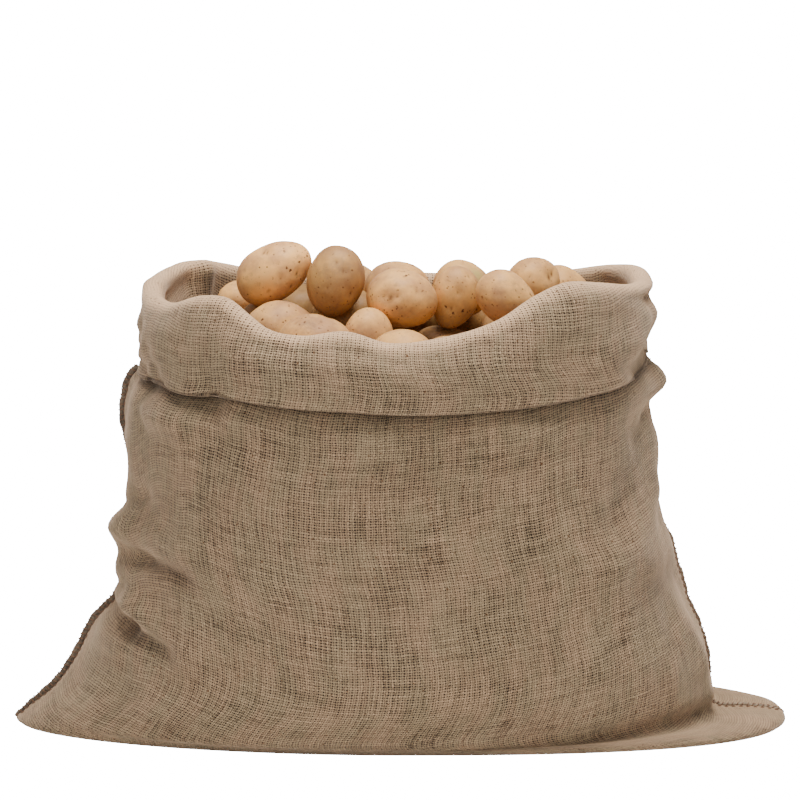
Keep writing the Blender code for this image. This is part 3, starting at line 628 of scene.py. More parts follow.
def plain_weave(tree, look, flat):
    """Where the yarn lies, the tone and the rounding of each thread, and the pinholes."""
    # yarn wanders: slow waves of about 60 mm and short kinks of 8 mm
    place = flat
    for scale, reach in ((17.0, 0.0045), (130.0, 0.0012)):
        drift = add(tree, "TexNoise", {"Vector": flat, "Scale": scale, "Detail": 1.0},
                    noise_dimensions="2D", out=1)
        drift = add(tree, "VectorMath", drift, (0.5, 0.5, 0.5), operation="SUBTRACT")
        drift = add(tree, "VectorMath", {0: drift, "Scale": reach}, operation="SCALE")
        place = add(tree, "VectorMath", place, drift, operation="ADD")
    across = add(tree, "SeparateXYZ", place)
    up = across.node.outputs[1]
    warp = add(tree, "Math", across, look.warp_pitch, operation="DIVIDE")
    weft = add(tree, "Math", up, look.weft_pitch, operation="DIVIDE")

    # each thread has its own tone, which changes slowly along it
    warp_number = add(tree, "Math", warp, operation="FLOOR")
    weft_number = add(tree, "Math", weft, operation="FLOOR")
    warp_key = add(tree, "Math", warp_number, 7.31, operation="MULTIPLY")
    weft_key = add(tree, "Math", weft_number, 5.17, operation="MULTIPLY")
    up_slow = add(tree, "Math", up, 26.0, operation="MULTIPLY")
    across_slow = add(tree, "Math", across, 26.0, operation="MULTIPLY")
    along_warp = add(tree, "CombineXYZ", warp_key, up_slow, 0.0)
    along_weft = add(tree, "CombineXYZ", across_slow, weft_key, 4.0)
    warp_tone, weft_tone = (
        add(tree, "TexNoise", {"Vector": line, "Scale": 1.0, "Detail": 3.5, "Roughness": 0.6})
        for line in (along_warp, along_weft)
    )

    # the profile of each thread: a wave over its pitch, over and under in turn
    warp_turn = add(tree, "Math", warp, math.pi, operation="MULTIPLY")
    weft_turn = add(tree, "Math", weft, math.pi, operation="MULTIPLY")
    pair_turn = add(tree, "Math", warp_turn, 0.5, operation="MULTIPLY")
    warp_wave, weft_wave, pair_wave = (
        add(tree, "Math", turn, operation="SINE") for turn in (warp_turn, weft_turn, pair_turn)
    )
    warp_profile, weft_profile, pair_profile = (
        add(tree, "Math", wave, operation="ABSOLUTE") for wave in (warp_wave, weft_wave, pair_wave)
    )
    crossing = add(tree, "Math", warp_wave, weft_wave, operation="MULTIPLY")
    over = add(tree, "MapRange", {"Value": crossing, "From Min": -0.4, "From Max": 0.4})
    tone = add(tree, "Mix", {"Factor": over, "A": weft_tone, "B": warp_tone})
    profile = add(tree, "Mix", {"Factor": over, "A": weft_profile, "B": warp_profile})

    # pinholes: between two pairs of warps and two wefts, wide where the weave is slack; they are
    # painted dark, as the shade inside the sack seen through them
    slack = add(tree, "TexNoise", {"Vector": flat, "Scale": 24.0, "Detail": 4.0,
                                   "Roughness": 0.6}, noise_dimensions="2D")
    reach = add(tree, "MapRange", {"Value": slack, "From Min": 0.34, "From Max": 0.66,
                                   "To Min": 0.62, "To Max": 0.80})
    thick = add(tree, "Math", warp_tone, weft_tone, operation="ADD")
    thick = add(tree, "MapRange", {"Value": thick, "From Min": 0.7, "From Max": 1.3,
                                   "To Min": 0.17, "To Max": -0.17})
    reach = add(tree, "Math", reach, thick, operation="ADD")
    between = add(tree, "Mix", {"Factor": 0.45, "A": pair_profile, "B": warp_profile})
    gap_across = add(tree, "Math", reach, between, operation="SUBTRACT")
    gap_up = add(tree, "Math", reach, weft_profile, operation="SUBTRACT")
    hole = add(tree, "Math", gap_across, gap_up, operation="MINIMUM")
    hole = add(tree, "MapRange", {"Value": hole, "From Min": -0.02, "From Max": 0.22})

    # seen at a slant, the threads cover them
    slant = add(tree, "LayerWeight", 0.5, out=1)
    seen = add(tree, "MapRange", {"Value": slant, "From Min": 0.3, "From Max": 0.85,
                                  "To Min": 1.0, "To Max": 0.2})
    hole = add(tree, "Math", hole, seen, operation="MULTIPLY")
    return Weave(place, tone, profile, hole, slant)


def hessian(look):
    """Jute hessian: a coarse open plain weave of undyed bast yarn, the warp in pairs.

    To the eye it is dull and hairy: threads of uneven thickness with long pale slubs, dark
    pinholes where the weave is slack, small fawn and khaki clouds, a pale bloom at its edge.
    Its colour also holds painted light: the bloom is painted highlight with wear, cloth that
    turns away has painted sheen, and painted shade lies in the pinholes, in the creases, under
    the cuff and down the sides of each thread.
    """
    made, tree, shader = new_material(
        "jute hessian",
        Roughness=0.92,
        IOR=1.5,
        Specular_IOR_Level=0.12,
        Sheen_Weight=look.fuzz,
        Sheen_Roughness=0.4,
        Sheen_Tint=linear("#D8C4B2"),
    )
    flat = add(tree, "UVMap", uv_map="weave")
    weave = plain_weave(tree, look, flat)

    # small clouds of fawn and khaki, drawn out along the threads
    drawn = add(tree, "Mapping", {"Vector": flat, "Scale": (1.0, 0.45, 1.0)})
    patch = add(tree, "TexNoise", {"Vector": drawn, "Scale": 42.0, "Detail": 4.0,
                                   "Roughness": 0.62}, noise_dimensions="2D")
    patch = add(tree, "MapRange", {"Value": patch, "From Min": 0.40, "From Max": 0.60})
    yarn = add(tree, "Mix", {"Factor": patch, 6: (*look.fawn, 1), 7: (*look.khaki, 1)},
               data_type="RGBA", out=2)

    # pale slubs and dark threads; each one lighter along its crown and darker down its two sides:
    # painted light and shade of its rounding
    bright = add(tree, "MapRange", {"Value": weave.tone, "From Min": 0.30, "From Max": 0.70,
                                    "To Min": 0.66, "To Max": 1.44})
    edge = add(tree, "MapRange", {"Value": weave.profile, "From Min": 0.0, "From Max": 0.75,
                                  "To Min": 0.18, "To Max": 1.24})
    for light in (bright, edge):
        yarn = add(tree, "Mix", {"Factor": 1.0, 6: yarn, 7: light}, data_type="RGBA",
                   blend_type="MULTIPLY", out=2)

    # damp places
    stain = add(tree, "TexNoise", {"Vector": flat, "Scale": 6.0, "Detail": 5.0,
                                   "Distortion": 0.4}, noise_dimensions="2D")
    stain = add(tree, "MapRange", {"Value": stain, "From Min": 0.50, "From Max": 0.72,
                                   "To Min": 0.0, "To Max": 0.10})

    # pale on the rim: painted highlight on its top, with fibres rubbed up there; and pale on any
    # cloth that turns away: painted sheen
    worn = add(tree, "Attribute", attribute_name="worn", out=2)
    turned = add(tree, "MapRange", {"Value": weave.slant, "From Min": 0.58, "From Max": 0.95,
                                    "To Min": 0.0, "To Max": 0.5})
    worn = add(tree, "Math", worn, turned, operation="MAXIMUM")
    worn = add(tree, "Math", worn, look.bloom, operation="MULTIPLY")

    # painted shade in the creases and under the cuff, mixed towards the pinholes' dark
    painted_shade = add(tree, "Attribute", attribute_name="painted_shade", out=2)
    painted_shade = add(tree, "Math", painted_shade, look.painted_shade, operation="MULTIPLY")

    # flecks of bark left in the yarn, 1 to 3 mm long
    bark = add(tree, "TexNoise", {"Vector": weave.place, "Scale": 300.0, "Detail": 1.0},
               noise_dimensions="2D")
    bark = add(tree, "MapRange", {"Value": bark, "From Min": 0.76, "From Max": 0.80})

    # each of these lies over the ones before it
    for share, colour in (
        (stain, look.stain),
        (worn, look.rubbed_and_lit),
        (painted_shade, look.shade_dark),
        (bark, look.bark),
        (weave.hole, look.shade_dark),
    ):
        yarn = add(tree, "Mix", {"Factor": share, 6: yarn, 7: (*colour, 1)},
                   data_type="RGBA", out=2)
    tree.links.new(yarn, shader.inputs["Base Color"])

    rise = add(tree, "Math", weave.profile, weave.hole, operation="SUBTRACT")
    bump = add(tree, "Bump", {"Strength": 0.5, "Distance": 0.0006, "Height": rise})
    tree.links.new(bump, shader.inputs["Normal"])
    return made


def twine(look):
    """Jute sewing twine, darkened by its batching oil: brown, dull and rough with fibres."""
    made, tree, shader = new_material("jute twine", Roughness=0.9, Sheen_Weight=0.15,
                                      Sheen_Roughness=0.5)
    place = add(tree, "TexCoord", out=3)
    fibre = add(tree, "TexNoise", {"Vector": place, "Scale": 900.0, "Detail": 3.0})
    colour = add(tree, "Mix", {"Factor": fibre, 6: (*look.twine_dark, 1),
                               7: (*look.twine_pale, 1)}, data_type="RGBA", out=2)
    tree.links.new(colour, shader.inputs["Base Color"])
    bump = add(tree, "Bump", {"Strength": 0.6, "Distance": 0.0004, "Height": fibre})
    tree.links.new(bump, shader.inputs["Normal"])
    return made


def selvedge(kind, dark, pale):
    """The two raw cloth edges inside the overcasting: grey-brown, hairy and dull."""
    made, tree, shader = new_material(f"raw jute selvedge, {kind}", Roughness=0.95,
                                      Sheen_Weight=0.2, Sheen_Roughness=0.5)
    place = add(tree, "TexCoord", out=3)
    hair = add(tree, "TexNoise", {"Vector": place, "Scale": 520.0, "Detail": 4.0})
    dirt = add(tree, "TexNoise", {"Vector": place, "Scale": 40.0, "Detail": 3.0})
    mixed = add(tree, "Math", hair, dirt, operation="MULTIPLY")
    mixed = add(tree, "MapRange", {"Value": mixed, "From Min": 0.14, "From Max": 0.36})
    colour = add(tree, "Mix", {"Factor": mixed, 6: (*dark, 1), 7: (*pale, 1)},
                 data_type="RGBA", out=2)
    tree.links.new(colour, shader.inputs["Base Color"])
    bump = add(tree, "Bump", {"Strength": 0.7, "Distance": 0.0006, "Height": hair})
    tree.links.new(bump, shader.inputs["Normal"])
    return made


def potato_skin(look):
    """Roughly washed potato skin: thin cork over pale flesh.

    To the eye it is warm tan with a faint waxy gleam, clouded with dried earth, and dotted
    with small brown lenticels; the marks that the mesh carries are eyes, earth and green, and a
    tone that holds each potato's own tone and painted shade on undersides and on the potatoes in
    the gaps and under the top layer.
    """
    made, tree, shader = new_material(
        "potato skin",
        IOR=1.42,
        Specular_IOR_Level=0.18,
        Subsurface_Weight=0.06,
        Subsurface_Radius=(0.6, 0.3, 0.12),
        Subsurface_Scale=0.004,
    )
    place = add(tree, "TexCoord", out=3)
    tone, eye, earth, green = (
        add(tree, "Attribute", attribute_name=name, out=2)
        for name in ("tone", "eye", "earth", "green")
    )

    # clouds of paler and browner skin, and thin flakes rubbed off it
    cloud = add(tree, "TexNoise", {"Vector": place, "Scale": 32.0, "Detail": 5.0,
                                   "Roughness": 0.62})
    cloud = add(tree, "MapRange", {"Value": cloud, "From Min": 0.38, "From Max": 0.62})
    skin = add(tree, "Mix", {"Factor": cloud, 6: (*look.skin_deep, 1),
                             7: (*look.skin_pale, 1)}, data_type="RGBA", out=2)
    # the mesh's tone: each potato's own, with painted shade on undersides and on potatoes in the
    # gaps and under the top layer
    skin = add(tree, "Mix", {"Factor": 1.0, 6: skin, 7: tone}, data_type="RGBA",
               blend_type="MULTIPLY", out=2)
    rub = add(tree, "TexNoise", {"Vector": place, "Scale": 120.0, "Detail": 5.0,
                                 "Roughness": 0.7})
    rub = add(tree, "MapRange", {"Value": rub, "From Min": 0.56, "From Max": 0.74,
                                 "To Min": 0.0, "To Max": 0.7})

    # earth dried on in patches, thicker where the mesh says; the mesh's extra earth on the
    # undersides is painted shade
    soil = add(tree, "TexNoise", {"Vector": place, "Scale": 210.0, "Detail": 5.0,
                                  "Roughness": 0.7})
    soil = add(tree, "Math", soil, earth, operation="ADD")
    soil = add(tree, "MapRange", {"Value": soil, "From Min": 0.66, "From Max": 1.05,
                                  "To Min": 0.0, "To Max": 0.75})

    # lenticels: dots up to 1.5 mm wide, about 4 mm apart, only on some of the skin
    dots = add(tree, "TexVoronoi", {"Vector": place, "Scale": 250.0, "Randomness": 1.0})
    dots = add(tree, "MapRange", {"Value": dots, "From Min": 0.11, "From Max": 0.24,
                                  "To Min": 0.85, "To Max": 0.0})
    some = add(tree, "TexNoise", {"Vector": place, "Scale": 70.0, "Detail": 3.0})
    some = add(tree, "MapRange", {"Value": some, "From Min": 0.46, "From Max": 0.58})
    dots = add(tree, "Math", dots, some, operation="MULTIPLY")

    # small scabs and nicks of 1 to 3 mm with ragged edges, in loose groups
    ragged = add(tree, "TexNoise", {"Vector": place, "Scale": 420.0, "Detail": 2.0}, out=1)
    ragged = add(tree, "VectorMath", ragged, (0.5, 0.5, 0.5), operation="SUBTRACT")
    ragged = add(tree, "VectorMath", {0: ragged, "Scale": 0.0032}, operation="SCALE")
    ragged = add(tree, "VectorMath", place, ragged, operation="ADD")
    scabs = add(tree, "TexVoronoi", {"Vector": ragged, "Scale": 115.0, "Randomness": 1.0})
    scabs = add(tree, "MapRange", {"Value": scabs, "From Min": 0.09, "From Max": 0.17,
                                   "To Min": 0.95, "To Max": 0.0})
    group = add(tree, "TexNoise", {"Vector": place, "Scale": 44.0, "Detail": 2.0})
    group = add(tree, "MapRange", {"Value": group, "From Min": 0.49, "From Max": 0.57})
    scabs = add(tree, "Math", scabs, group, operation="MULTIPLY")
    dots = add(tree, "Math", dots, scabs, operation="MAXIMUM")
    dark = add(tree, "Math", dots, eye, operation="MAXIMUM")

    # each of these lies over the ones before it
    for share, colour in (
        (rub, look.skin_rubbed),
        (soil, look.earth),
        (green, look.greened),
        (dark, look.speck),
    ):
        skin = add(tree, "Mix", {"Factor": share, 6: skin, 7: (*colour, 1)},
                   data_type="RGBA", out=2)
    tree.links.new(skin, shader.inputs["Base Color"])
    rough = add(tree, "MapRange", {"Value": soil, "To Min": 0.46, "To Max": 0.85})
    tree.links.new(rough, shader.inputs["Roughness"])

    fine = add(tree, "TexNoise", {"Vector": place, "Scale": 330.0, "Detail": 4.0})
    fine = add(tree, "Math", fine, dots, operation="SUBTRACT")
    bump = add(tree, "Bump", {"Strength": 0.28, "Distance": 0.0007, "Height": fine})
    tree.links.new(bump, shader.inputs["Normal"])
    return made


# ---- seams ------------------------------------------------------------------------------
Spine = namedtuple("Spine", "points out side")


def seam_spine(cloth, side_name, column):
    """The line of one side seam with its directions: out from the cloth, and across."""
    hem = cloth.hem_height[column]
    rows = [
        row for row in range(FLOOR_STEPS, FLOOR_STEPS + WALL_STEPS)
        if SEAM_START < cloth.rings[row, column, 2] < hem - SEAM_END_GAP
    ]
    around = len(cloth.shares) - 1
    points = cloth.rings[rows, column]
    ahead, behind = (column + SPINE_REACH) % around, (column - SPINE_REACH) % around
    beside = cloth.rings[rows, ahead] - cloth.rings[rows, behind]
    along = np.gradient(points, axis=0)
    along = np.array([unit(step) for step in along])
    out = np.array([unit(np.cross(b, a)) for b, a in zip(beside, along)])
    for _ in range(SPINE_CALMED):
        out[1:-1] = (out[:-2] + 2 * out[1:-1] + out[2:]) / 4
    out = np.array([unit(o) for o in out])
    side = np.array([unit(np.cross(a, o)) for a, o in zip(along, out)])
    back = side * np.sign(side[:, 1])[:, None]
    at = LAID[side_name]
    heights = points[:, 2]
    laid = softened(heights, at.start, at.full) * (1 - softened(heights, at.until, at.end))
    over = (LAID_BACK * laid)[:, None]
    base = points + out * SELVEDGES[side_name].width / 2 * np.sin(over)
    out, side = out * np.cos(over) + back * np.sin(over), back * np.cos(over) - out * np.sin(over)
    return Spine(base, out, side)


def spine_at(spine, distance):
    """Place and directions at a distance along a seam."""
    lengths = run_lengths(spine.points)
    place, out, side = (part_way(field, lengths, distance) for field in spine)
    return place, unit(out), unit(side)


def selvedge_share(distance):
    """How much of its height the ridge has at a distance from its lower end."""
    return SELVEDGE_LOW + (1 - SELVEDGE_LOW) * min(1.0, distance / SELVEDGE_TIP)


def rippled(size, ripples, distance):
    """A size that varies a little along the seam."""
    return size + sum(
        ripple.size * math.sin(distance * ripple.turn + ripple.start) for ripple in ripples
    )


def oval_into(bm, middle, first, second, sides):
    """Adds a ring of vertices (mm) with two given half axes to a mesh."""
    turns = [2 * math.pi * side / sides for side in range(sides)]
    return [
        bm.verts.new((middle + math.cos(turn) * first + math.sin(turn) * second) * MM)
        for turn in turns
    ]


def skin_over(bm, rings):
    """Joins rings of vertices by faces and closes both ends."""
    for low, high in zip(rings, rings[1:]):
        for corner in range(len(low)):
            beside = (corner + 1) % len(low)
            bm.faces.new((low[corner], low[beside], high[beside], high[corner]))
    bm.faces.new(rings[0][::-1])
    bm.faces.new(rings[-1])


def twine_into(bm, points, radius):
    """Adds a closed round thread along points (mm) to a mesh, slimmer at its two ends."""
    points = np.asarray(points)
    rings = []
    lead = np.array([0.31, 0.53, 0.79])  # no thread runs along it
    for index, (point, along) in enumerate(zip(points, np.gradient(points, axis=0))):
        along = unit(along)
        first = unit(np.cross(along, lead))
        second = np.cross(along, first)
        size = radius * (TWINE_TIP if index in (0, len(points) - 1) else 1.0)
        rings.append(oval_into(bm, point, size * first, size * second, TWINE_SIDES))
    skin_over(bm, rings)


def mesh_of(bm, name):
    """A smooth mesh from a bmesh, its faces pointing out."""
    bmesh.ops.recalc_face_normals(bm, faces=bm.faces[:])
    mesh = bpy.data.meshes.new(name)
    bm.to_mesh(mesh)
    bm.free()
    mesh.shade_smooth()
    return mesh


# ---- potatoes ---------------------------------------------------------------------------
# Marks on the potatoes that show most: which potato, the mark's direction from the middle
# of the potato as an azimuth (0 is the front, + to the right) and an elevation, its kind,
# its radius and how strong it is.
Mark = namedtuple("Mark", "potato azimuth elevation kind radius strength")
Scatter = namedtuple("Scatter", "kind count elevations radii strengths")
SCATTERED = (  # on any potato, besides its own marks, each value between two
    Scatter("eye", 7, (-70, 80), (1.0, 1.9), (0.25, 0.6)),
    Scatter("earth", 3, (-60, 80), (6, 12), (0.06, 0.2)),
)
MARK_SEED = 100  # each potato's number is added to it
EYE_SLIM = 1.9  # an eye is this many times as long as it is wide
EYE_LEAD = (0.2, 0.1, 1.0)  # and its length lies nearly along this direction
DIMPLE_WIDE, DIMPLE_DEEP = 2.4, 0.5  # the hollow that it lies in, in radii of the eye
POTATO_LUMPS, POTATO_LUMP_SIZE = 0.45, 34  # how high and how wide a potato's own lumps are
POTATO_SHRUNK = 0.35  # so that they stay inside the solid, but for their tops
TONES = (0.76, 0.92)  # how dark or light one potato may be
OWN_TONES_AND_SHADE = {13: 0.5, 14: 0.5, 18: 0.4, 20: 0.5, 29: 0.60, 30: 1.06}  # 13, 14, 18 and 20 sit in the gaps and are painted dark as shade; 29 has darker skin, 30 paler
BURIED_SHADE = 0.70  # potatoes under the top layer: their tone is painted this much darker, as shade
UNDERSIDE_SHADE = 0.16  # painted shade on the underside of any potato: this much lower tone and this much more earth colour
UNDERSIDE_FROM, UNDERSIDE_TO = -0.1, 0.9  # how far down its skin has to face for it
BED_FIELDS = {"tone": 0.35, "eye": 0.0, "earth": 0.3, "green": 0.0}  # the bed's tone is painted dark as shade deep in the sack, with some earth
TOP_POTATOES = (1, 2, 8, 9, 27, 28, 29, 30, 31, 32, 33, 34, 35, 36)
TOP_LEVELS, DEEP_LEVELS = 3, 2  # how finely they and all the others are rounded
CLOTH_MERGE, CAD_MERGE = 2e-5, 1e-5  # vertices this close are one (m)
MARKS = (
    Mark(30, -28, 52, "eye", 2.2, 0.8),
    Mark(30, -16, 50, "eye", 1.8, 0.8),
    Mark(30, 28, 44, "eye", 1.6, 0.8),
    Mark(30, 46, 4, "eye", 2.2, 0.9),
    Mark(30, 40, -22, "eye", 1.8, 0.8),
    Mark(30, -8, -30, "eye", 1.5, 0.5),
    Mark(29, 2, 42, "eye", 1.8, 0.7),
    Mark(29, 14, 30, "earth", 13.0, 0.34),
    Mark(29, 34, -22, "eye", 2.0, 0.9),
    Mark(29, -16, -8, "eye", 1.4, 0.6),
    Mark(29, -30, 20, "earth", 10.0, 0.22),
    Mark(28, -22, 6, "eye", 3.4, 0.75),
    Mark(28, -34, 8, "eye", 1.8, 0.7),
    Mark(28, -8, 9, "eye", 1.5, 0.6),
    Mark(28, 8, 56, "eye", 1.8, 0.6),
    Mark(31, 20, 40, "earth", 9.0, 0.28),
    Mark(31, -24, 26, "earth", 8.0, 0.24),
    Mark(34, 40, 34, "green", 7.0, 0.6),
    Mark(34, -10, 46, "earth", 10.0, 0.2),
    Mark(35, 44, 20, "eye", 3.4, 0.9),
    Mark(35, 58, 26, "eye", 2.4, 0.9),
    Mark(32, 10, 20, "eye", 1.6, 0.5),
    Mark(32, -20, 44, "earth", 8.0, 0.18),
    Mark(1, -18, 62, "earth", 12.0, 0.26),
    Mark(1, 30, 66, "eye", 2.4, 0.6),
    Mark(27, -10, 40, "earth", 10.0, 0.3),
)


def cad_copy(node, name, finish):
    """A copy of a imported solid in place, with its loose triangles joined."""
    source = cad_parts[node]
    bm = bmesh.new()
    bm.from_mesh(source.data)
    bm.transform(source.matrix_world)
    bmesh.ops.remove_doubles(bm, verts=bm.verts[:], dist=CAD_MERGE)
    mesh = bpy.data.meshes.new(name)
    bm.to_mesh(mesh)
    bm.free()
    mesh.shade_smooth()
    return new_object(name, mesh, finish)


def points_of(mesh):
    """The vertices of a mesh as one array."""
    flat = np.empty(len(mesh.vertices) * 3)
    mesh.vertices.foreach_get("co", flat)
    return flat.reshape(-1, 3)


def smoothed_to_box(thing, levels):
    """Subdivides a piece, then stretches it back to the size that it had."""
    before = points_of(thing.data)
    smooth = thing.modifiers.new("smooth", "SUBSURF")
    smooth.levels = levels
    smooth.render_levels = levels
    apply_modifiers(thing)
    after = points_of(thing.data)
    scale = np.ptp(before, axis=0) / np.ptp(after, axis=0)
    placed = (after - after.min(axis=0)) * scale + before.min(axis=0)
    thing.data.vertices.foreach_set("co", placed.ravel())


def direction(azimuth, elevation):
    """The direction of an azimuth from the front and an elevation, in degrees."""
    a, e = math.radians(azimuth), math.radians(elevation)
    return np.array([math.sin(a) * math.cos(e), -math.cos(a) * math.cos(e), math.sin(e)])


def scattered_marks(number):
    """The eyes and earthy places that any potato has, spread by its own number."""
    rng = np.random.default_rng(MARK_SEED + number)
    return [
        Mark(number, rng.uniform(0, 360), rng.uniform(*some.elevations), some.kind,
             rng.uniform(*some.radii), rng.uniform(*some.strengths))
        for some in SCATTERED
        for _ in range(some.count)
    ]


def dressed_potato(node, number, levels, finish):
    """One potato with its lumps, its eyes in their dimples and its marks as attributes."""
    thing = cad_copy(node, f"{node}_skin", finish)
    smoothed_to_box(thing, levels)
    points = points_of(thing.data) / MM
    middle = (points.min(axis=0) + points.max(axis=0)) / 2
    away = points - middle
    away /= np.linalg.norm(away, axis=1)[:, None]
    fields = {kind: np.zeros(len(points)) for kind in ("eye", "earth", "green")}
    sunk = POTATO_LUMPS * lumps(points, POTATO_LUMP_SIZE, number) - POTATO_SHRUNK
    for mark in scattered_marks(number) + [m for m in MARKS if m.potato == number]:
        facing = direction(mark.azimuth, mark.elevation)
        gap = points - points[np.argmax(away @ facing)]
        reach = np.linalg.norm(gap, axis=1)
        if mark.kind == "eye":
            sunk -= (DIMPLE_DEEP * mark.radius
                     * np.exp(-((reach / (DIMPLE_WIDE * mark.radius)) ** 2)))
            along = gap @ unit(np.cross(facing, EYE_LEAD))
            reach = np.sqrt((gap**2).sum(axis=1) - along**2 + (along * EYE_SLIM) ** 2)
        fields[mark.kind] += mark.strength * np.exp(-((reach / mark.radius) ** 2))
    points += away * sunk[:, None]
    thing.data.vertices.foreach_set("co", (points * MM).ravel())
    # painted shade: a lower tone for potatoes in the gaps and under the top layer
    tone = OWN_TONES_AND_SHADE.get(number, np.random.default_rng(number).uniform(*TONES))
    if number not in TOP_POTATOES:
        tone *= BURIED_SHADE
    # painted shade on the underside: a lower tone and more earth colour
    below = softened(-away[:, 2], UNDERSIDE_FROM, UNDERSIDE_TO)
    fields["earth"] += UNDERSIDE_SHADE * below
    fields["tone"] = tone * (1 - UNDERSIDE_SHADE * below)
    for name, values in fields.items():
        point_field(thing.data, name, np.clip(values, 0.0, 2.0))
    return thing


# ---- sizes and colours that a user may change -------------------------------------------
def user_colour(name, description, hex_colour):
    """A colour that a user may change, with its default as sRGB hex."""
    return bpy.props.FloatVectorProperty(
        name=name, description=description, subtype="COLOR",
        default=linear(hex_colour)[:3], min=0.0, max=1.0,
    )


class SackClothLook(bpy.types.PropertyGroup):
    """The hessian: its thread count and its colours."""

    warp_pitch: bpy.props.FloatProperty(
        name="Warp pitch", description="From one upright thread to the next",
        default=WARP_PITCH * MM, min=0.001, max=0.006, precision=5, unit="LENGTH",
    )
    weft_pitch: bpy.props.FloatProperty(
        name="Weft pitch", description="From one level thread to the next",
        default=WEFT_PITCH * MM, min=0.001, max=0.006, precision=5, unit="LENGTH",
    )
    thickness: bpy.props.FloatProperty(
        name="Thickness", description="Thickness of the cloth",
        default=0.002, min=0.001, max=0.003, unit="LENGTH",
    )
    fuzz: bpy.props.FloatProperty(
        name="Fuzz", description="How hairy the cloth looks where it turns away",
        default=0.35, min=0.0, max=1.0, subtype="FACTOR",
    )
    # painted shade in the creases and under the cuff: how dark it is
    painted_shade: bpy.props.FloatProperty(
        name="Dust", description="How dark the dust in the deep creases is",
        default=0.55, min=0.0, max=1.0, subtype="FACTOR",
    )
    # how strong the painted highlight with wear at the rim, and the painted sheen where the cloth
    # turns away, are
    bloom: bpy.props.FloatProperty(
        name="Bloom", description="How pale the rubbed rim is",
        default=0.62, min=0.0, max=1.0, subtype="FACTOR",
    )
    # the colour of that painted highlight and wear at the rim
    rubbed_and_lit: user_colour("Rubbed", "Fibres rubbed up at the rim", "#DEB58C")
    fawn: user_colour("Fawn", "The warmer patches of the yarn", "#887057")
    khaki: user_colour("Khaki", "The greener patches of the yarn", "#816E55")
    stain: user_colour("Stain", "Damp or earthy places", "#624D38")
    # painted shade: the dark inside the sack seen through the pinholes, and the dark in the
    # creases and under the cuff
    shade_dark: user_colour("Pinhole", "The dark between the threads", "#261A12")
    bark: user_colour("Bark", "Flecks of bark in the yarn", "#5A3F28")


class SeamLook(bpy.types.PropertyGroup):
    """The overcast side seams and their stitches."""

    overcast_pitch: bpy.props.FloatProperty(
        name="Overcast pitch", description="From one turn of the overcasting to the next",
        default=0.0044, min=0.003, max=0.02, unit="LENGTH",
    )
    stitch_pitch: bpy.props.FloatProperty(
        name="Stitch pitch", description="From one running stitch to the next",
        default=0.0062, min=0.003, max=0.02, unit="LENGTH",
    )
    twine_radius: bpy.props.FloatProperty(
        name="Twine radius", description="Half the thickness of the sewing twine",
        default=0.0005, min=0.0003, max=0.0015, precision=5, unit="LENGTH",
    )
    twine_dark: user_colour("Twine, dark", "Oiled parts of the sewing twine", "#4A3020")
    twine_pale: user_colour("Twine, pale", "Rubbed parts of the sewing twine", "#8A6647")
    # the left seam's selvedge, painted darker as shade
    shaded_side_dark: user_colour("Selvedge, dark", "The folded edges in the seam", "#3E3226")
    shaded_side_pale: user_colour("Selvedge, pale", "Their outer threads", "#7A6955")
    # the right seam's selvedge: the same cloth, painted paler as lit
    lit_side_dark: user_colour("Right side, dark", "The right seam is faded: its folds", "#6A5844")
    lit_side_pale: user_colour("Right side, pale", "The right seam is faded: its threads", "#9A8870")


class PotatoLook(bpy.types.PropertyGroup):
    """The colours of the potatoes."""

    skin_pale: user_colour("Skin, pale", "Clean skin", "#E8AE66")
    skin_deep: user_colour("Skin, deep", "Thicker, browner skin", "#B88658")
    skin_rubbed: user_colour("Skin, rubbed", "Where the outer skin has flaked", "#A0764C")
    earth: user_colour("Earth", "Dried earth on the skin", "#8A6A4C")
    speck: user_colour("Speck", "Eyes and lenticels", "#4E3018")
    greened: user_colour("Greened", "Where light has turned the skin green", "#A39A58")


class StudioLook(bpy.types.PropertyGroup):
    """The floor, lights and camera."""

    floor: user_colour("Floor", "Colour of the floor and backdrop", "#F2F1EF")
    backdrop: bpy.props.FloatProperty(
        name="Backdrop", description="How much the backdrop is lifted towards white",
        default=20.0, min=0.0, max=50.0,
    )
    key: bpy.props.FloatProperty(
        name="Key light", description="Power of the big light overhead",
        default=90.0, min=0.0, max=2000.0, unit="POWER",
    )
    fill: bpy.props.FloatProperty(
        name="Fill light", description="Power of the light beside the camera",
        default=14.0, min=0.0, max=2000.0, unit="POWER",
    )
    sky: bpy.props.FloatProperty(
        name="Sky", description="Brightness of the even light all round",
        default=0.5, min=0.0, max=5.0,
    )
    lens: bpy.props.FloatProperty(
        name="Lens", description="Focal length in mm", default=160.0, min=20.0, max=400.0,
    )
    distance: bpy.props.FloatProperty(
        name="Distance", description="From the camera to the sack",
        default=3.0, min=1.0, max=20.0, unit="LENGTH",
    )
    elevation: bpy.props.FloatProperty(
        name="Elevation", description="How far the camera looks down",
        default=math.radians(8.0), min=0.0, max=math.radians(80.0), subtype="ANGLE",
    )


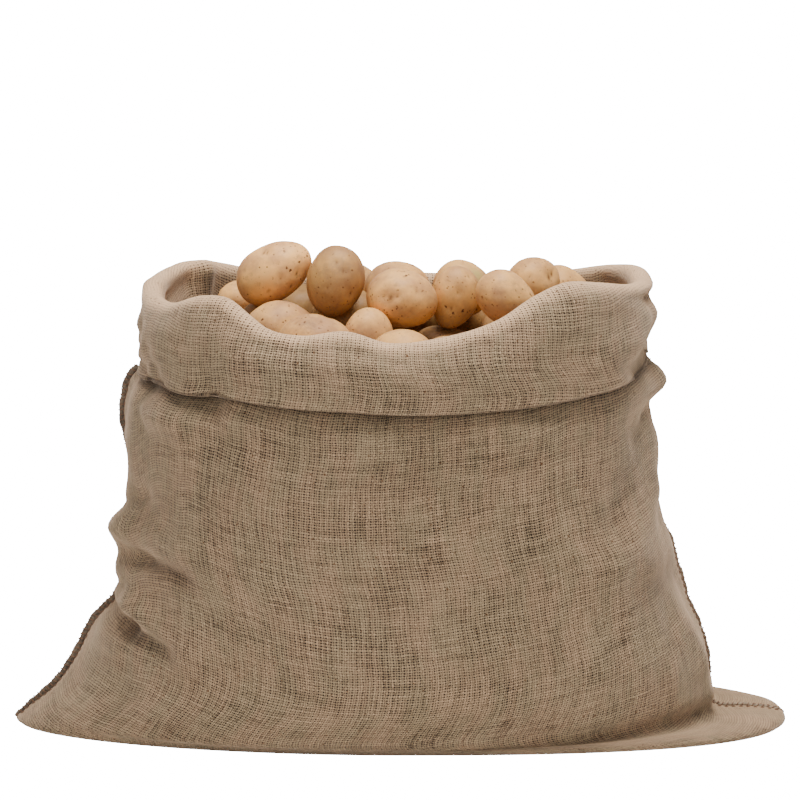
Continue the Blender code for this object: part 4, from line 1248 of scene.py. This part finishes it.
# ---- pieces -----------------------------------------------------------------------------
class SACK_OT_cloth(bpy.types.Operator):
    """The draped cloth with its folds and its rolled mouth"""

    bl_idname = "sack.cloth"
    bl_label = "Sack cloth"

    def execute(self, context):
        look = context.scene.sack_cloth_look
        cloth = draped_cloth()
        across, up = weave_places(cloth)
        rows, around = cloth.rings.shape[0], cloth.rings.shape[1] - 1
        points = cloth.rings[:, :-1].reshape(-1, 3)
        faces, places = [], []
        for row in range(rows - 1):
            for column in range(around):
                beside = (column + 1) % around
                faces.append((row * around + column, row * around + beside,
                              (row + 1) * around + beside, (row + 1) * around + column))
                for r, c in ((row, column), (row, column + 1),
                             (row + 1, column + 1), (row + 1, column)):
                    places += (across[r, c] * MM, up[r, c] * MM)
        mesh = bpy.data.meshes.new("sack_hessian")
        mesh.from_pydata((points * MM).tolist(), [], faces)
        mesh.uv_layers.new(name="weave").data.foreach_set("uv", places)
        # painted shade in the creases and under the cuff
        point_field(mesh, "painted_shade", np.clip(cloth.creased[:, :-1], 0, 1))
        # painted highlight with wear at the rim
        point_field(mesh, "worn", np.clip(cloth.worn[:, :-1], 0, 1))
        bm = bmesh.new()
        bm.from_mesh(mesh)
        bmesh.ops.remove_doubles(bm, verts=bm.verts[:], dist=CLOTH_MERGE)
        bm.to_mesh(mesh)
        bm.free()
        mesh.shade_smooth()
        made = new_object("sack_hessian", mesh, hessian(look))
        wall = made.modifiers.new("cloth thickness", "SOLIDIFY")
        wall.thickness = look.thickness
        wall.offset = -1
        apply_modifiers(made)
        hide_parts("sack_cloth")
        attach(made, "root")
        return {"FINISHED"}


class SACK_OT_seams(bpy.types.Operator):
    """The two overcast side seams and the running stitches beside them"""

    bl_idname = "sack.seams"
    bl_label = "Side seams"

    def execute(self, context):
        look = context.scene.sack_seam_look
        cloth = draped_cloth()
        twine_finish = twine(look)
        # one selvedge in two copies: painted shade on the left seam, painted light on the right
        sides = (
            ("left", 0, selvedge("grey", look.shaded_side_dark, look.shaded_side_pale)),
            ("right", FACE_COLUMNS, selvedge("lit_side", look.lit_side_dark, look.lit_side_pale)),
        )
        for side, column, edge_finish in sides:
            spine = seam_spine(cloth, side, column)
            made = self.selvedges(side, spine, edge_finish)
            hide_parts(f"side_seam_{side}")
            for part in (made, self.overcasting(side, spine, look, twine_finish),
                         self.stitches(side, cloth, column, look, twine_finish)):
                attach(part, "root")
        return {"FINISHED"}

    def selvedges(self, side, spine, finish):
        """The flattened, slightly wavy ridge of the two selvedges."""
        bm = bmesh.new()
        height, width = SELVEDGES[side]
        rings = []
        for distance in np.arange(0.0, run_lengths(spine.points)[-1], SELVEDGE_STEP):
            point, out, across = spine_at(spine, distance)
            tall = rippled(height, TALL_RIPPLES, distance) * selvedge_share(distance)
            wide = rippled(width, WIDE_RIPPLES, distance)
            middle = point + out * (tall / 2 - SELVEDGE_SUNK)
            rings.append(oval_into(bm, middle, across * wide / 2, out * tall / 2,
                                   SELVEDGE_SIDES))
        skin_over(bm, rings)
        return new_object(f"selvedges_{side}", mesh_of(bm, f"selvedges_{side}"), finish)

    def overcasting(self, side, spine, look, finish):
        """One twine wound round the selvedges, drawn in a little at each turn."""
        bm = bmesh.new()
        total = run_lengths(spine.points)[-1]
        pitch = look.overcast_pitch / MM
        height, width = SELVEDGES[side]
        path = []
        for distance in np.arange(OVERCAST_END, total - OVERCAST_END, pitch / OVERCAST_STEPS):
            point, out, across = spine_at(spine, distance)
            angle = 2 * math.pi * distance / pitch
            half = height * selvedge_share(distance) / 2
            reach = half - SELVEDGE_SUNK + (half + OVERCAST_OUT) * math.sin(angle)
            aside = (width / 2 + OVERCAST_OUT) * math.cos(angle)
            path.append(point + out * max(reach, OVERCAST_LOW) + across * aside)
        twine_into(bm, path, look.twine_radius / MM)
        return new_object(f"overcasting_{side}", mesh_of(bm, f"overcasting_{side}"), finish)

    def stitches(self, side, cloth, column, look, finish):
        """Short running stitches through both faces, just inside the edge."""
        bm = bmesh.new()
        pitch = look.stitch_pitch / MM
        around = len(cloth.shares) - 1
        low = SEAM_START + STITCH_CLEAR
        high = cloth.hem_height[column] - SEAM_END_GAP - STITCH_CLEAR
        wall = cloth.rings[FLOOR_STEPS:FLOOR_STEPS + WALL_STEPS]
        for step in (1, -1):
            line, seam = wall[:, (column + step) % around], wall[:, column]
            keep = (seam[:, 2] > low) & (seam[:, 2] < high)
            line, seam = line[keep], seam[keep]
            normal = np.cross(np.gradient(line, axis=0), seam - line) * step
            normal /= np.linalg.norm(normal, axis=1)[:, None]
            if np.mean(np.einsum("ij,ij->i", normal, line)) < 0:
                normal = -normal
            lengths = run_lengths(line)
            for start in np.arange(STITCH_FIRST, lengths[-1] - pitch, pitch):
                path = []
                for part in np.linspace(0, 1, STITCH_POINTS):
                    at = start + part * pitch * STITCH_SHARE
                    up = unit(part_way(normal, lengths, at))
                    lift = STITCH_ARCH * math.sin(math.pi * part) - STITCH_SUNK
                    path.append(part_way(line, lengths, at) + up * lift)
                twine_into(bm, path, look.twine_radius / MM)
        return new_object(f"stitches_{side}", mesh_of(bm, f"stitches_{side}"), finish)


class SACK_OT_potatoes(bpy.types.Operator):
    """The potatoes at the mouth and the ones under them, painted dim as shade"""

    bl_idname = "sack.potatoes"
    bl_label = "Potatoes"

    def execute(self, context):
        skin = potato_skin(context.scene.sack_potato_look)
        for node in sorted(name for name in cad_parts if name.startswith("potato_")):
            if node == "potato_bed":
                continue
            number = int(node.split("_")[1])
            levels = TOP_LEVELS if number in TOP_POTATOES else DEEP_LEVELS
            made = dressed_potato(node, number, levels, skin)
            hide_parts(node)
            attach(made, "root")
        under = cad_copy("potato_bed", "potatoes_under", skin)
        smoothed_to_box(under, DEEP_LEVELS)
        # painted shade: the bed is dim, with some earth on it
        for name, value in BED_FIELDS.items():
            point_field(under.data, name, np.full(len(under.data.vertices), value))
        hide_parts("potato_bed")
        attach(under, "root")
        return {"FINISHED"}


class SACK_OT_studio(bpy.types.Operator):
    """A pale floor that sweeps up behind, soft lights and the camera"""

    bl_idname = "sack.studio"
    bl_label = "Studio"

    def execute(self, context):
        look = context.scene.sack_studio_look
        self.backdrop(look)
        self.even_light(look)
        self.lamps(look)
        self.camera(look)
        return {"FINISHED"}

    def backdrop(self, look):
        """The floor and the wall behind, joined by a wide curve."""
        # matte paint: pale, dull and even, so that nothing but the sack's shadow shows on it
        finish, tree, shader = new_material("matte paint", Roughness=0.9,
                                            Base_Color=(*look.floor, 1),
                                            Emission_Color=(1, 1, 1, 1))
        seen = add(tree, "LightPath")
        lift = add(tree, "Math", seen, look.backdrop, operation="MULTIPLY")
        tree.links.new(lift, shader.inputs["Emission Strength"])
        rows = FLOOR_ROWS + CURVE_ROWS + WALL_ROWS
        bm = bmesh.new()
        bmesh.ops.create_grid(bm, x_segments=1, y_segments=rows, size=1)
        for vert in bm.verts:
            row = round((vert.co.y + 1) / 2 * rows)
            if row < FLOOR_ROWS:
                place = (FLOOR_NEAR + (FLOOR_FAR - FLOOR_NEAR) * row / FLOOR_ROWS, 0.0)
            elif row <= FLOOR_ROWS + CURVE_ROWS:
                turn = (row - FLOOR_ROWS) / CURVE_ROWS * math.pi / 2
                place = (FLOOR_FAR + CURVE_RADIUS * math.sin(turn),
                         CURVE_RADIUS - CURVE_RADIUS * math.cos(turn))
            else:
                risen = WALL_HEIGHT * (row - FLOOR_ROWS - CURVE_ROWS) / WALL_ROWS
                place = (FLOOR_FAR + CURVE_RADIUS, CURVE_RADIUS + risen)
            vert.co = Vector((vert.co.x * FLOOR_HALF_WIDTH, *place))
        floor = new_object("floor", mesh_of(bm, "floor"), finish)

    def even_light(self, look):
        """The same light from all round, which the camera sees as white."""
        world = bpy.data.worlds.new("studio")
        bpy.context.scene.world = world
        world.use_nodes = True
        sky = world.node_tree.nodes["Background"]
        sky.inputs["Color"].default_value = linear("#F6F8FF")
        seen = add(world.node_tree, "LightPath")
        lift = add(world.node_tree, "Math", seen, look.backdrop, look.sky,
                   operation="MULTIPLY_ADD")
        world.node_tree.links.new(lift, sky.inputs["Strength"])

    def lamps(self, look):
        """A big soft light overhead and a weak one beside the camera."""
        aim = Vector((0, 0, LAMPS_AIM))
        for name, (place, size), power in (
            ("key", KEY_LAMP, look.key),
            ("fill", FILL_LAMP, look.fill),
        ):
            bpy.ops.object.light_add(type="AREA", location=place)
            lamp = bpy.context.object
            lamp.name = name
            lamp.data.shape = "SQUARE"
            lamp.data.size = size
            lamp.data.energy = power
            lamp.rotation_euler = (aim - lamp.location).to_track_quat("-Z", "Y").to_euler()

    def camera(self, look):
        """A long lens in front of the sack, a little above it."""
        back = Vector((0.0, -math.cos(look.elevation), math.sin(look.elevation)))
        target = Vector((0.0, 0.0, CAMERA_AIM))
        bpy.ops.object.camera_add(location=target + back * look.distance)
        camera = bpy.context.object
        camera.rotation_euler = (-back).to_track_quat("-Z", "Y").to_euler()
        camera.data.sensor_width = SENSOR_WIDTH
        camera.data.lens = look.lens
        bpy.context.scene.camera = camera


class SACK_PT_panel(bpy.types.Panel):
    """Lists the pieces of the sack with their sizes and colours."""

    bl_label = "Sack of potatoes"
    bl_idname = "SACK_PT_panel"
    bl_space_type = "VIEW_3D"
    bl_region_type = "UI"
    bl_category = "Sack"

    def draw(self, context):
        for operator, group in PIECES:
            box = self.layout.box()
            box.operator(operator.bl_idname)
            look = getattr(context.scene, group)
            for name in look.__annotations__:
                box.prop(look, name)


GROUPS = {
    "sack_cloth_look": SackClothLook,
    "sack_seam_look": SeamLook,
    "sack_potato_look": PotatoLook,
    "sack_studio_look": StudioLook,
}
PIECES = (
    (SACK_OT_cloth, "sack_cloth_look"),
    (SACK_OT_seams, "sack_seam_look"),
    (SACK_OT_potatoes, "sack_potato_look"),
    (SACK_OT_studio, "sack_studio_look"),
)
CLASSES = (*GROUPS.values(), *(operator for operator, _ in PIECES), SACK_PT_panel)


def register():
    """Makes the operators, the panel and the values known to Blender."""
    for item in CLASSES:
        bpy.utils.register_class(item)
    for name, group in GROUPS.items():
        setattr(bpy.types.Scene, name, bpy.props.PointerProperty(type=group))


def unregister():
    """Takes them away again."""
    for name in GROUPS:
        delattr(bpy.types.Scene, name)
    for item in reversed(CLASSES):
        bpy.utils.unregister_class(item)


def main():
    """Makes every piece in turn."""
    register()
    bpy.ops.sack.cloth()
    bpy.ops.sack.seams()
    bpy.ops.sack.potatoes()
    bpy.ops.sack.studio()


if __name__ == "__main__":
    main()
